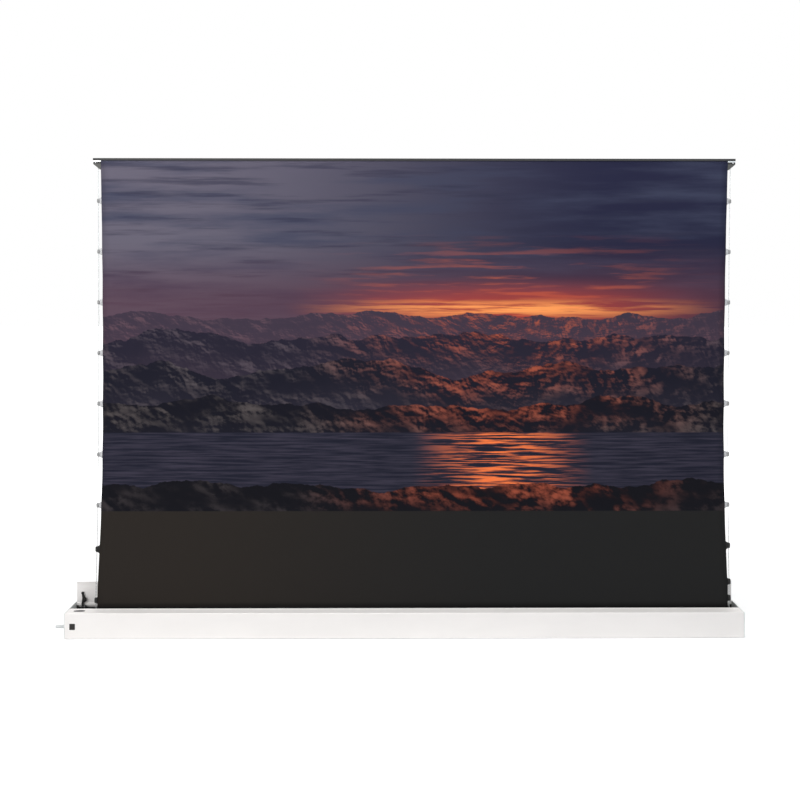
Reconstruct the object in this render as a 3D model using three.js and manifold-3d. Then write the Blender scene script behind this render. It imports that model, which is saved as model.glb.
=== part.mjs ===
import * as THREE from 'three';
import { mergeVertices } from 'three/addons/utils/BufferGeometryUtils.js';
import Module from 'manifold-3d';

// A floor-standing projection screen that rises out of a long low case, in millimetres
// +X runs along the case, -Y is the viewing side and +Z is up; the origin lies on the floor
// under the middle of the case. The screen stands fully raised with the lid open behind it.

// Clearances
const fitGap = 0.3;
const cutOverrun = 5;

// Case
const caseLength = 2872;
const caseDepth = 160;
const caseHeight = 110;
const caseEdgeRadius = 4;
const floorGap = 3;
const sheetWall = 2.5;
const sheetFillet = 1.5;
const upstandHeight = 20;
const rearWallTop = 96;
const lipDepth = 64;
const lipFrontBand = 10;
const lipRearBand = 8;
const lipGroove = 1;
const lipFlangeDrop = 8;
const lipEdgeRadius = 1.5;

// End caps
const capWall = 4;
const capRimDepth = 8;
const capRimWall = 2.5;
const capCornerRadius = 3;

// Foot pads
const padLength = 60;
const padDepth = 130;
const padEdge = 1;
const padInset = 120;

// Sensor window in the front wall, near the left end
const windowInset = 35;
const windowCentreHeight = 53.5;
const windowWidth = 24;
const windowHeight = 26;
const windowProud = 0.5;
const windowFlange = 2;
const windowFlangeWall = 1;
const windowRadius = 3;

// Oval inlay on the lip
const inlayInset = 54.5;
const inlayLength = 49;
const inlayDepth = 20;
const inlayWall = 0.8;
const inlaySetback = 34;

// Cord gland in the left end cap
const glandY = -30;
const glandHeight = 38;
const glandBore = 3.5;
const glandShankRadius = 8;
const glandFlangeRadius = 12;
const glandTipRadius = 6;
const glandReach = 51;
const glandFlangeWall = 6;
const glandNutWall = 3;
const glandRibs = 4;
const glandRibRise = 0.8;

// Control box
const boxInset = 13;
const boxLength = 52;
const boxFrontGap = 14;
const boxDepth = 104;
const boxHeight = 62;
const boxRadius = 5;
const boxSeamDepth = 1;
const boxSeamWidth = 2;

// Room in the case beyond the bar's ends; the left end holds the drive
const leftRoom = 101;
const rightRoom = 17;

// Roller
const rollerY = -36;
const rollerHeight = 52;
const tubeRadius = 22.5;
const tubeWall = 2;
const tubeLeftInset = 6;
const tubeRightInset = 12;
const woundRadius = 26;
const rollTurns = 1.5;
const rollPitch = 1.7;

// Tubular motor and its bracket
const bracketWall = 4;
const bracketTopRadius = 24;
const bracketFootLength = 25;
const bracketFootHalf = 30;
const motorHeadRadius = 21;
const motorHeadLength = 18;
const motorSpigotRadius = 12;
const motorCrownLength = 12;
const motorBodyRadius = 17.5;
const motorBodyLength = 500;
const motorShaftRadius = 5;
const motorShaftLength = 34;
const wheelLength = 25;
const wheelHubRadius = 9;
const wheelWaist = 3;

// Idler end of the roller
const plugLength = 38;
const plugFlange = 3;
const plugShaftRadius = 6;
const bearingRadius = 12;
const bearingLength = 8;
const idlerGap = 6;

// Lift arms
const armInset = 197;
const raisedAngle = THREE.MathUtils.degToRad(26.37456);
const basePivotHeight = 48;
const upperArmWidth = 30;
const lowerArmWidth = 36;
const armThickness = 14;
const upperArmFrontY = 18;
const lowerArmFrontY = 35;
const armPocketInset = 42;
const armPocketDepth = 9;
const armPocketFlange = 6;
const pinRadius = 6;
const pinHeadRadius = 10;
const pinHeadWall = 2.5;

// Arm brackets on the base
const cheekWall = 3.5;
const frontCheekY = 28;
const rearCheekY = 67;
const cheekRadius = 18;
const armBracketHalf = 42;
const armBracketBase = 3;

// Lift springs
const springRadius = 11;
const springWire = 1.5;
const springCurls = 3;
const springPitch = 4.2;
const springSteps = 8;
const springSides = 5;
const springArmLeg = 60;

// Top bar
const barTop = 2035;
const stripHeight = 8;
const barBodyHeight = 14;
const barFrontY = -9.1;
const barRearY = 15;
const barWall = 2.5;
const barChamfer = 3.5;
const barRadius = 1.5;
const stripFrontY = -12.5;
const stripRearY = 16;
const stripLipWall = 1.4;
const stripLipDrop = 2;
const stripRadius = 2;
const barCapWall = 2;
const barCapSpigot = 10;

// Cord brackets under the bar's ends
const cordBracketLength = 36;
const cordBracketDrop = 26;
const cordBracketNose = 3;
const cordBracketFoot = 8;
const cordBracketRearY = 8;
const cordBracketRadius = 1.5;
const cordEntry = 14;

// Top pins
const topPinRise = 6;
const topPinFlangeRadius = 5;
const topPinFlangeWall = 2;
const topPinWasher = 2;

// Fabric and its tension cords
const fabricWall = 1.2;
const fabricY = -10;
const fabricTopInset = 35;
const fabricWaistInset = 48;
const fabricFootInset = 26;
const waistHeight = 914;
const footHeight = 200;
const fabricSteps = 8;
const cordY = -6.5;
const cordRadius = 1.6;
const cordSides = 8;
const cordTopInset = 21;
const cordWaistInset = 27;
const cordFootInset = 19;
const cordSpoolHeight = 56;
const cordSteps = 30;
const tabTopDrop = 156;
const tabPitch = 218;
const tabCount = 7;
const tabLeastGap = 40;
const lowTabsLeft = [361, 142];
const lowTabsRight = [374, 219];
const cordLow = 126;
const tabHeight = 20;
const tabWall = 3;
const tabBeadRadius = 5.5;
const tabBeadSides = 10;

// Lid
const hingeInset = 4.8;
const hingeHeight = 105.5;
const lidSideGap = 2;
const lidTop = 198;
const lidBase = 110;
const lidWall = 2;
const lidBeadRadius = 2;
const lidNeckWall = 1.6;
const lidHookReach = 4;
const lidHookWall = 2.5;
const railOuterRadius = 4.4;
const railBore = 2.4;
const railFootHeight = 0.3;
const railOpenAngle = THREE.MathUtils.degToRad(60);
const railWrapAngle = THREE.MathUtils.degToRad(215);

// Lid levers and their brackets
const leverInset = 37;
const leverPivotY = 60;
const leverPivotHeight = 92;
const leverTipHeight = 156;
const leverHubRadius = 6;
const leverHubLength = 10;
const leverWidth = 9;
const leverWall = 5;
const leverKneeX = 12;
const leverKneeRise = 36;
const leverKneeRadius = 8.5;
const leverNeckRise = 9;
const leverTipX = -2;
const leverTipRadius = 5;
const leverPinRadius = 2.5;
const leverEarWall = 3.5;
const leverEarRadius = 6.5;
const leverBlockHeight = 20;
const leverBlockDepth = 8;

// Facets round a circle
const fineFacets = 32;
const plainFacets = 24;
const coarseFacets = 16;
const cornerSteps = 4;

// Places worked out from the sizes
const frontY = -caseDepth / 2;
const rearY = caseDepth / 2;
const leftX = -caseLength / 2;
const rightX = caseLength / 2;
const shellLength = caseLength - 2 * (capWall + fitGap);
const frontInnerY = frontY + sheetWall;
const troughFrontY = frontInnerY + fitGap;
const troughFloor = floorGap + sheetWall;
const troughRearY = rearY - sheetWall;
const seatFloor = troughFloor + fitGap;
const lipRearY = frontY + lipDepth;
const lipFloor = caseHeight - lipGroove;
const lipUnder = lipFloor - sheetWall;
const barLeft = leftX + leftRoom;
const barRight = rightX - rightRoom;
const barLength = barRight - barLeft;
const screenShift = (barLeft + barRight) / 2;
const barBodyTop = barTop - stripHeight;
const barBottom = barBodyTop - barBodyHeight;
const topPivotHeight = barBottom + topPinRise;
const armLength = (topPivotHeight - basePivotHeight) / 2 / Math.cos(raisedAngle);
const armSpacing = barLength - 2 * armInset;
const tubeLeft = barLeft + tubeLeftInset;
const tubeRight = barRight - tubeRightInset;
const tubeBore = tubeRadius - tubeWall;
const hingeY = rearY - hingeInset;
const fabricTop = barBodyTop;
const fabricFootHalf = barLength / 2 - fabricFootInset;
const cordFootHalf = barLength / 2 - cordFootInset;
const tabTopHeight = barBottom - tabTopDrop;

const AXIS_X = new THREE.Vector3(1, 0, 0);
const AXIS_Y = new THREE.Vector3(0, 1, 0);
const AXIS_Z = new THREE.Vector3(0, 0, 1);
const sectionToX = new THREE.Matrix4().makeBasis(AXIS_Y, AXIS_Z, AXIS_X);
const sectionToY = new THREE.Matrix4().makeBasis(AXIS_X, AXIS_Z, AXIS_Y.clone().negate());
const turnedToX = new THREE.Matrix4().makeBasis(AXIS_Y, AXIS_X, AXIS_Z.clone().negate());

const wasm = await Module();
wasm.setup();

// A closed mesh as a solid that can be joined and cut
function solidOf(geometry) {
  const bare = new THREE.BufferGeometry();
  bare.setAttribute('position', geometry.getAttribute('position').clone());
  if (geometry.index) {
    bare.setIndex(geometry.index.clone());
  }
  const merged = mergeVertices(bare);
  const vertProperties = new Float32Array(merged.getAttribute('position').array);
  const triVerts = new Uint32Array(merged.index.array);
  return new wasm.Manifold(new wasm.Mesh({ numProp: 3, vertProperties, triVerts }));
}

// The facets of a solid as a geometry
function geometryOf(solid) {
  const mesh = solid.getMesh();
  const indexed = new THREE.BufferGeometry();
  indexed.setAttribute('position', new THREE.BufferAttribute(mesh.vertProperties, 3));
  indexed.setIndex(new THREE.BufferAttribute(mesh.triVerts, 1));
  const geometry = indexed.toNonIndexed();
  geometry.computeVertexNormals();
  return geometry;
}

// An outline whose corners are [u, v] or [u, v, radius]
function outlineOf(corners) {
  const shape = new THREE.Shape();
  corners.forEach(([u, v, radius = 0], i) => {
    const here = new THREE.Vector2(u, v);
    const before = corners[(i + corners.length - 1) % corners.length];
    const after = corners[(i + 1) % corners.length];
    const toBefore = new THREE.Vector2(before[0], before[1]).sub(here).normalize();
    const toAfter = new THREE.Vector2(after[0], after[1]).sub(here).normalize();
    const start = here.clone().addScaledVector(toBefore, radius);
    const end = here.clone().addScaledVector(toAfter, radius);
    if (i === 0) {
      shape.moveTo(start.x, start.y);
    } else {
      shape.lineTo(start.x, start.y);
    }
    if (radius > 0) {
      shape.quadraticCurveTo(here.x, here.y, end.x, end.y);
    }
  });
  shape.closePath();
  return shape;
}

// A (y, z) section run along X from startX
function alongX(shape, length, startX) {
  const geometry = new THREE.ExtrudeGeometry(shape, {
    depth: length,
    bevelEnabled: false,
    curveSegments: cornerSteps,
  });
  return solidOf(geometry.applyMatrix4(sectionToX).translate(startX, 0, 0));
}

// An (x, z) outline with its front face at frontFaceY
function alongY(shape, thickness, frontFaceY, curveSegments = cornerSteps) {
  const geometry = new THREE.ExtrudeGeometry(shape, {
    depth: thickness,
    bevelEnabled: false,
    curveSegments,
  });
  return solidOf(geometry.applyMatrix4(sectionToY).translate(0, frontFaceY + thickness, 0));
}

// An (x, y) outline standing on baseZ
function alongZ(shape, height, baseZ) {
  const geometry = new THREE.ExtrudeGeometry(shape, {
    depth: height,
    bevelEnabled: false,
    curveSegments: fineFacets,
  });
  return solidOf(geometry.translate(0, 0, baseZ));
}

// A box between two corners
function boxBetween(low, high) {
  const size = high.clone().sub(low);
  const centre = high.clone().add(low).divideScalar(2);
  const geometry = new THREE.BoxGeometry(size.x, size.y, size.z);
  return solidOf(geometry.translate(centre.x, centre.y, centre.z));
}

function point(x, y, z) {
  return new THREE.Vector3(x, y, z);
}

// A profile of [radius, station] turned about an X line through (centreY, centreZ)
function turnedAboutX(profile, centreY, centreZ, facets = fineFacets) {
  const points = profile.map(([radius, station]) => new THREE.Vector2(radius, station));
  const geometry = new THREE.LatheGeometry(points, facets);
  return solidOf(geometry.applyMatrix4(turnedToX).translate(0, centreY, centreZ));
}

// A profile of [radius, station] turned about a Y line through (centreX, centreZ)
function turnedAboutY(profile, centreX, centreZ, facets = plainFacets) {
  const points = profile.map(([radius, station]) => new THREE.Vector2(radius, station));
  const geometry = new THREE.LatheGeometry(points, facets);
  return solidOf(geometry.translate(centreX, 0, centreZ));
}

// A plain round bar along X or Y, used as a pin or to bore a hole
function rodAlongX(radius, startX, endX, centreY, centreZ, facets = plainFacets) {
  return turnedAboutX([[0, startX], [radius, startX], [radius, endX], [0, endX]], centreY, centreZ, facets);
}

function rodAlongY(radius, startY, endY, centreX, centreZ, facets = plainFacets) {
  return turnedAboutY([[0, startY], [radius, startY], [radius, endY], [0, endY]], centreX, centreZ, facets);
}

const finishes = {
  whiteShell: { color: 0xe6e7e6, roughness: 0.45, metalness: 0.1 },
  trough: { color: 0x3a3a3a, roughness: 0.6, metalness: 0.2 },
  blackPlastic: { color: 0x1c1c1d, roughness: 0.5, metalness: 0 },
  rubber: { color: 0x202020, roughness: 0.9, metalness: 0 },
  darkLens: { color: 0x0d0b10, roughness: 0.15, metalness: 0 },
  greyPlastic: { color: 0xc9cbcc, roughness: 0.55, metalness: 0 },
  aluminium: { color: 0xc4c6c8, roughness: 0.35, metalness: 0.9 },
  steel: { color: 0x8f9296, roughness: 0.35, metalness: 0.95 },
  springSteel: { color: 0x55585c, roughness: 0.4, metalness: 0.9 },
  fabricBlack: { color: 0x26262a, roughness: 0.85, metalness: 0 },
  cord: { color: 0xdcdde0, roughness: 0.7, metalness: 0 },
};
const materials = {};
for (const [name, finish] of Object.entries(finishes)) {
  materials[name] = new THREE.MeshStandardMaterial({ name, ...finish });
}

const screen = new THREE.Group();

function add(name, solid, material, parent = screen) {
  const mesh = new THREE.Mesh(geometryOf(solid), material);
  mesh.name = name;
  parent.add(mesh);
  return mesh;
}

// Front cover: the front wall and the lip that runs back over the roller
function frontCover() {
  const section = outlineOf([
    [frontY, floorGap],
    [frontY, caseHeight, caseEdgeRadius],
    [frontY + lipFrontBand, caseHeight],
    [frontY + lipFrontBand + lipGroove, lipFloor],
    [lipRearY - lipRearBand - lipGroove, lipFloor],
    [lipRearY - lipRearBand, caseHeight],
    [lipRearY, caseHeight, lipEdgeRadius],
    [lipRearY, caseHeight - lipFlangeDrop],
    [lipRearY - sheetWall, caseHeight - lipFlangeDrop],
    [lipRearY - sheetWall, lipUnder, sheetFillet],
    [frontInnerY, lipUnder, sheetFillet],
    [frontInnerY, floorGap],
  ]);
  const window = windowOutline(0);
  const hole = alongY(window, sheetWall + 2 * cutOverrun, frontY - cutOverrun);
  return alongX(section, shellLength, -shellLength / 2).subtract(hole);
}

// The sensor window's outline, drawn in by a gap on each side
function windowOutline(gap) {
  const x = leftX + windowInset;
  const halfWidth = windowWidth / 2 - gap;
  const halfHeight = windowHeight / 2 - gap;
  return outlineOf([
    [x - halfWidth, windowCentreHeight - halfHeight, windowRadius],
    [x + halfWidth, windowCentreHeight - halfHeight, windowRadius],
    [x + halfWidth, windowCentreHeight + halfHeight, windowRadius],
    [x - halfWidth, windowCentreHeight + halfHeight, windowRadius],
  ]);
}

// Sensor window: a dark lens that fills the hole, with a flange behind the wall
function sensorWindow() {
  const lensDepth = windowProud + sheetWall + fitGap + windowFlangeWall;
  const lens = alongY(windowOutline(fitGap), lensDepth, frontY - windowProud);
  const flange = alongY(windowOutline(-windowFlange), windowFlangeWall, frontInnerY + fitGap);
  return lens.add(flange);
}

// Base trough: floor, rear wall and the upstand behind the front cover
function baseTrough() {
  const section = outlineOf([
    [troughFrontY, floorGap],
    [rearY, floorGap, caseEdgeRadius],
    [rearY, rearWallTop],
    [troughRearY, rearWallTop],
    [troughRearY, troughFloor, sheetFillet],
    [troughFrontY + sheetWall, troughFloor, sheetFillet],
    [troughFrontY + sheetWall, troughFloor + upstandHeight],
    [troughFrontY, troughFloor + upstandHeight],
  ]);
  return alongX(section, shellLength, -shellLength / 2);
}

// End cap: an outer plate and a rim that locates the cover and the trough
function endCap(side) {
  const plate = outlineOf([
    [frontY, floorGap, capCornerRadius],
    [rearY, floorGap, capCornerRadius],
    [rearY, caseHeight, capCornerRadius],
    [frontY, caseHeight, caseEdgeRadius],
  ]);
  const rimFront = troughFrontY + sheetWall + fitGap;
  const rimRear = troughRearY - fitGap;
  const rimTop = lipUnder - fitGap;
  const rimLipEnd = lipRearY - sheetWall - sheetFillet - fitGap;
  const rimRearTop = rearWallTop - sheetWall;
  const rim = outlineOf([
    [rimLipEnd, rimTop],
    [rimFront, rimTop, sheetFillet],
    [rimFront, seatFloor, sheetFillet],
    [rimRear, seatFloor, sheetFillet],
    [rimRear, rimRearTop],
    [rimRear - capRimWall, rimRearTop],
    [rimRear - capRimWall, seatFloor + capRimWall, sheetFillet],
    [rimFront + capRimWall, seatFloor + capRimWall, sheetFillet],
    [rimFront + capRimWall, rimTop - capRimWall, sheetFillet],
    [rimLipEnd, rimTop - capRimWall],
  ]);
  const outer = side < 0 ? leftX : rightX - capWall;
  const inner = side < 0 ? leftX : rightX - capWall - capRimDepth;
  const body = alongX(plate, capWall, outer).add(alongX(rim, capWall + capRimDepth, inner));
  if (side > 0) {
    return body;
  }
  const hole = rodAlongX(
    glandShankRadius + fitGap, leftX - cutOverrun, leftX + capWall + cutOverrun, glandY, glandHeight,
  );
  return body.subtract(hole);
}

function footPad(centreX) {
  const padTop = floorGap - fitGap;
  const section = outlineOf([
    [-padDepth / 2, 0, padEdge],
    [padDepth / 2, 0, padEdge],
    [padDepth / 2, padTop],
    [-padDepth / 2, padTop],
  ]);
  return alongX(section, padLength, centreX - padLength / 2);
}

function lipInlay() {
  const oval = new THREE.Shape();
  const x = leftX + inlayInset;
  const y = frontY + inlaySetback;
  oval.absellipse(x, y, inlayLength / 2, inlayDepth / 2, 0, 2 * Math.PI);
  return alongZ(oval, inlayWall, lipFloor + fitGap);
}

// Cord gland: a ribbed, tapered sleeve outside the cap with its nut inside
function cordGland() {
  const outside = leftX - fitGap;
  const inside = leftX + capWall + fitGap;
  const tip = leftX - glandReach;
  const sleeve = outside - glandFlangeWall - tip;
  const ribStep = sleeve / (glandRibs + 1);
  const profile = [[glandBore, tip], [glandTipRadius, tip]];
  for (let i = 1; i <= glandRibs; i += 1) {
    const share = i / (glandRibs + 1);
    const radius = THREE.MathUtils.lerp(glandTipRadius, glandShankRadius, share);
    const station = tip + i * ribStep;
    profile.push([radius, station - ribStep / 4]);
    profile.push([radius + glandRibRise, station]);
    profile.push([radius, station + ribStep / 4]);
  }
  profile.push([glandShankRadius, outside - glandFlangeWall]);
  profile.push([glandFlangeRadius, outside - glandFlangeWall]);
  profile.push([glandFlangeRadius, outside]);
  profile.push([glandShankRadius, outside]);
  profile.push([glandShankRadius, inside]);
  profile.push([glandFlangeRadius, inside]);
  profile.push([glandFlangeRadius, inside + glandNutWall]);
  profile.push([glandBore, inside + glandNutWall]);
  profile.push([glandBore, tip]);
  return turnedAboutX(profile, glandY, glandHeight, coarseFacets);
}

// Control box: a moulded box with a seam under its lid
function controlBox() {
  const start = leftX + boxInset;
  const front = frontY + boxFrontGap;
  const seamZ = seatFloor + boxHeight - boxRadius - boxSeamWidth;
  const section = outlineOf([
    [front, seatFloor],
    [front + boxDepth, seatFloor],
    [front + boxDepth, seamZ],
    [front + boxDepth - boxSeamDepth, seamZ],
    [front + boxDepth - boxSeamDepth, seamZ + boxSeamWidth],
    [front + boxDepth, seamZ + boxSeamWidth],
    [front + boxDepth, seatFloor + boxHeight, boxRadius],
    [front, seatFloor + boxHeight, boxRadius],
    [front, seamZ + boxSeamWidth],
    [front + boxSeamDepth, seamZ + boxSeamWidth],
    [front + boxSeamDepth, seamZ],
    [front, seamZ],
  ]);
  return alongX(section, boxLength, start);
}

// A roller bracket: an upright plate round the roller's axis on a foot that points along the roller
function rollerBracket(plateX, footStart, holeRadius) {
  const upright = new THREE.Shape();
  upright.moveTo(rollerY - bracketFootHalf, seatFloor);
  upright.lineTo(rollerY + bracketFootHalf, seatFloor);
  upright.lineTo(rollerY + bracketTopRadius, rollerHeight);
  upright.absarc(rollerY, rollerHeight, bracketTopRadius, 0, Math.PI, false);
  upright.closePath();
  const plate = alongX(upright, bracketWall, plateX);
  const foot = boxBetween(
    point(footStart, rollerY - bracketFootHalf, seatFloor),
    point(footStart + bracketFootLength, rollerY + bracketFootHalf, seatFloor + bracketWall),
  );
  const hole = rodAlongX(
    holeRadius, plateX - cutOverrun, plateX + bracketWall + cutOverrun, rollerY, rollerHeight,
  );
  return plate.add(foot).subtract(hole);
}

// Roller: tube, wound fabric, drive wheel and idler plug
function rollerTube() {
  return turnedAboutX([
    [tubeBore, tubeLeft],
    [tubeRadius, tubeLeft],
    [tubeRadius, tubeRight],
    [tubeBore, tubeRight],
    [tubeBore, tubeLeft],
  ], rollerY, rollerHeight);
}

function fabricRoll() {
  const steps = Math.round(rollTurns * plainFacets);
  const innerEdge = [];
  const outerEdge = [];
  for (let i = 0; i <= steps; i += 1) {
    const back = 1 - i / steps;
    const angle = -2 * Math.PI * rollTurns * back;
    const middle = woundRadius - rollPitch * rollTurns * back;
    const cosine = Math.cos(angle);
    const sine = Math.sin(angle);
    const inner = middle - fabricWall / 2;
    const outer = middle + fabricWall / 2;
    innerEdge.push([rollerY + inner * cosine, rollerHeight + inner * sine]);
    outerEdge.push([rollerY + outer * cosine, rollerHeight + outer * sine]);
  }
  const section = outlineOf([...innerEdge, ...outerEdge.reverse()]);
  return alongX(section, 2 * fabricFootHalf, screenShift - fabricFootHalf);
}

function tubularMotor(plateX) {
  const headStart = plateX + bracketWall + fitGap;
  const crownEnd = tubeLeft + motorCrownLength;
  const bodyEnd = crownEnd + motorBodyLength;
  const plugRadius = tubeBore - fitGap;
  return turnedAboutX([
    [0, plateX - bracketWall],
    [motorSpigotRadius - fitGap, plateX - bracketWall],
    [motorSpigotRadius - fitGap, headStart],
    [motorHeadRadius, headStart],
    [motorHeadRadius, tubeLeft - fitGap],
    [plugRadius, tubeLeft - fitGap],
    [plugRadius, crownEnd],
    [motorBodyRadius, crownEnd],
    [motorBodyRadius, bodyEnd],
    [motorShaftRadius, bodyEnd],
    [motorShaftRadius, bodyEnd + motorShaftLength],
    [0, bodyEnd + motorShaftLength],
  ], rollerY, rollerHeight);
}

function driveWheel() {
  const start = tubeLeft + motorCrownLength + motorBodyLength + motorShaftLength - wheelLength;
  const end = start + wheelLength - wheelWaist;
  const rim = tubeBore - fitGap;
  const bore = motorShaftRadius + fitGap;
  return turnedAboutX([
    [bore, start],
    [rim, start],
    [rim, start + wheelWaist],
    [wheelHubRadius, start + wheelWaist],
    [wheelHubRadius, end - wheelWaist],
    [rim, end - wheelWaist],
    [rim, end],
    [bore, end],
    [bore, start],
  ], rollerY, rollerHeight);
}

function idlerPlug(plateX) {
  const plug = tubeBore - fitGap;
  const flangeStart = tubeRight + fitGap;
  const shaftEnd = plateX + bearingLength;
  return turnedAboutX([
    [0, tubeRight - plugLength],
    [plug, tubeRight - plugLength],
    [plug, flangeStart],
    [tubeRadius, flangeStart],
    [tubeRadius, flangeStart + plugFlange],
    [plugShaftRadius, flangeStart + plugFlange],
    [plugShaftRadius, shaftEnd],
    [0, shaftEnd],
  ], rollerY, rollerHeight);
}

function idlerBearing(plateX) {
  const outer = bearingRadius - fitGap;
  const bore = plugShaftRadius + fitGap;
  const start = plateX - (bearingLength - bracketWall) / 2;
  return turnedAboutX([
    [bore, start],
    [outer, start],
    [outer, start + bearingLength],
    [bore, start + bearingLength],
    [bore, start],
  ], rollerY, rollerHeight);
}

// A lift arm, upright, with its lower pin hole at the origin
function liftArm(width) {
  const half = width / 2;
  const outline = new THREE.Shape();
  outline.moveTo(half, 0);
  outline.lineTo(half, armLength);
  outline.absarc(0, armLength, half, 0, Math.PI, false);
  outline.lineTo(-half, 0);
  outline.absarc(0, 0, half, Math.PI, 2 * Math.PI, false);
  const bar = alongY(outline, armThickness, 0, fineFacets / 2);
  const pocket = boxBetween(
    point(armPocketFlange - half, armThickness - armPocketDepth, armPocketInset),
    point(half - armPocketFlange, armThickness + cutOverrun, armLength - armPocketInset),
  );
  const holeRadius = pinRadius + fitGap;
  const lowHole = rodAlongY(holeRadius, -cutOverrun, armThickness + cutOverrun, 0, 0);
  const highHole = rodAlongY(holeRadius, -cutOverrun, armThickness + cutOverrun, 0, armLength);
  return bar.subtract(pocket).subtract(lowHole).subtract(highHole);
}

// A headed pin along Y between the outer faces that it holds
function headedPin(frontFace, rearFace, centreX, centreZ) {
  const headStart = frontFace - fitGap - pinHeadWall;
  const nutEnd = rearFace + fitGap + pinHeadWall;
  return turnedAboutY([
    [0, headStart],
    [pinHeadRadius, headStart],
    [pinHeadRadius, frontFace - fitGap],
    [pinRadius, frontFace - fitGap],
    [pinRadius, rearFace + fitGap],
    [pinHeadRadius, rearFace + fitGap],
    [pinHeadRadius, nutEnd],
    [0, nutEnd],
  ], centreX, centreZ);
}

// Arm bracket: two round-topped cheeks on a base plate
function armBracket(centreX) {
  const cheek = new THREE.Shape();
  cheek.moveTo(centreX - armBracketHalf, seatFloor);
  cheek.lineTo(centreX + armBracketHalf, seatFloor);
  cheek.lineTo(centreX + armBracketHalf, seatFloor + armBracketBase);
  cheek.lineTo(centreX + cheekRadius, basePivotHeight);
  cheek.absarc(centreX, basePivotHeight, cheekRadius, 0, Math.PI, false);
  cheek.lineTo(centreX - armBracketHalf, seatFloor + armBracketBase);
  cheek.closePath();
  const front = alongY(cheek, cheekWall, frontCheekY, fineFacets / 2);
  const rear = alongY(cheek, cheekWall, rearCheekY, fineFacets / 2);
  const base = boxBetween(
    point(centreX - armBracketHalf, frontCheekY, seatFloor),
    point(centreX + armBracketHalf, rearCheekY + cheekWall, seatFloor + armBracketBase),
  );
  const holeEnd = rearCheekY + cheekWall + cutOverrun;
  const hole = rodAlongY(pinRadius + fitGap, frontCheekY - cutOverrun, holeEnd, centreX, basePivotHeight);
  return front.add(rear).add(base).subtract(hole);
}

// Least gap of a coil to itself, between centre points at least one curl apart
function leastGap(centres, stepsPerCurl, wire) {
  let least = Infinity;
  centres.forEach((centre, i) => {
    for (const other of centres.slice(i + stepsPerCurl)) {
      least = Math.min(least, centre.distanceTo(other) - 2 * wire);
    }
  });
  return least;
}

// Lift spring: a torsion coil round the base pin with a leg on the arm and a leg on the base
function liftSpring(centreX, side) {
  const startAngle = Math.PI - raisedAngle;
  const frontCurlY = lowerArmFrontY + armThickness + fitGap + springWire;
  const legFoot = seatFloor + armBracketBase + fitGap + springWire;
  const legHead = basePivotHeight + springRadius * Math.sin(startAngle);
  const baseLeg = (legHead - legFoot) / Math.cos(raisedAngle);
  const steps = springCurls * springSteps;
  const turn = 2 * Math.PI * springCurls;
  const radialAt = (angle) => point(-side * Math.cos(angle), 0, Math.sin(angle));
  const alongAt = (angle) => point(side * Math.sin(angle), 0, Math.cos(angle));
  const centres = [];
  const frames = [];
  for (let i = 0; i <= steps; i += 1) {
    const angle = startAngle + (turn * i) / steps;
    const centre = radialAt(angle).multiplyScalar(springRadius);
    centre.x += centreX;
    centre.y = frontCurlY + (springPitch * springCurls * i) / steps;
    centre.z += basePivotHeight;
    centres.push(centre);
    frames.push(angle);
  }
  const first = centres[0].clone().addScaledVector(alongAt(frames[0]), -springArmLeg);
  const last = centres[steps].clone().addScaledVector(alongAt(frames[steps]), baseLeg);
  centres.unshift(first);
  frames.unshift(frames[0]);
  centres.push(last);
  frames.push(frames[frames.length - 1]);
  const positions = [];
  const index = [];
  centres.forEach((centre, i) => {
    const radial = radialAt(frames[i]);
    for (let k = 0; k < springSides; k += 1) {
      const around = (2 * Math.PI * k) / springSides;
      const vertex = centre.clone().addScaledVector(radial, springWire * Math.cos(around));
      vertex.y += springWire * Math.sin(around);
      positions.push(vertex.x, vertex.y, vertex.z);
    }
  });
  const rings = centres.length;
  for (let i = 0; i + 1 < rings; i += 1) {
    for (let k = 0; k < springSides; k += 1) {
      const next = (k + 1) % springSides;
      const a = i * springSides + k;
      const b = i * springSides + next;
      const c = a + springSides;
      const d = b + springSides;
      index.push(a, c, b, b, c, d);
    }
  }
  for (let k = 1; k + 1 < springSides; k += 1) {
    const end = (rings - 1) * springSides;
    index.push(0, k, k + 1);
    index.push(end, end + k + 1, end + k);
  }
  if (side < 0) {
    index.reverse();
  }
  const geometry = new THREE.BufferGeometry();
  geometry.setAttribute('position', new THREE.Float32BufferAttribute(positions, 3));
  geometry.setIndex(index);
  console.log(`lift spring: least gap to itself ${leastGap(centres, springSteps, springWire).toFixed(2)} mm`);
  return solidOf(geometry);
}

// Top bar: a hollow extrusion with a chamfer along its lower front edge
function topBar() {
  const section = outlineOf([
    [barFrontY, barBodyTop],
    [barFrontY, barBottom + barChamfer],
    [barFrontY + barChamfer, barBottom],
    [barRearY, barBottom, barRadius],
    [barRearY, barBodyTop],
  ]);
  section.holes.push(outlineOf([
    [barFrontY + barChamfer, barBottom + barWall],
    [barRearY - barWall, barBottom + barWall],
    [barRearY - barWall, barBodyTop - barWall],
    [barFrontY + barChamfer, barBodyTop - barWall],
  ]));
  const length = barLength - 2 * (barCapWall + fitGap);
  return alongX(section, length, screenShift - length / 2);
}

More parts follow.
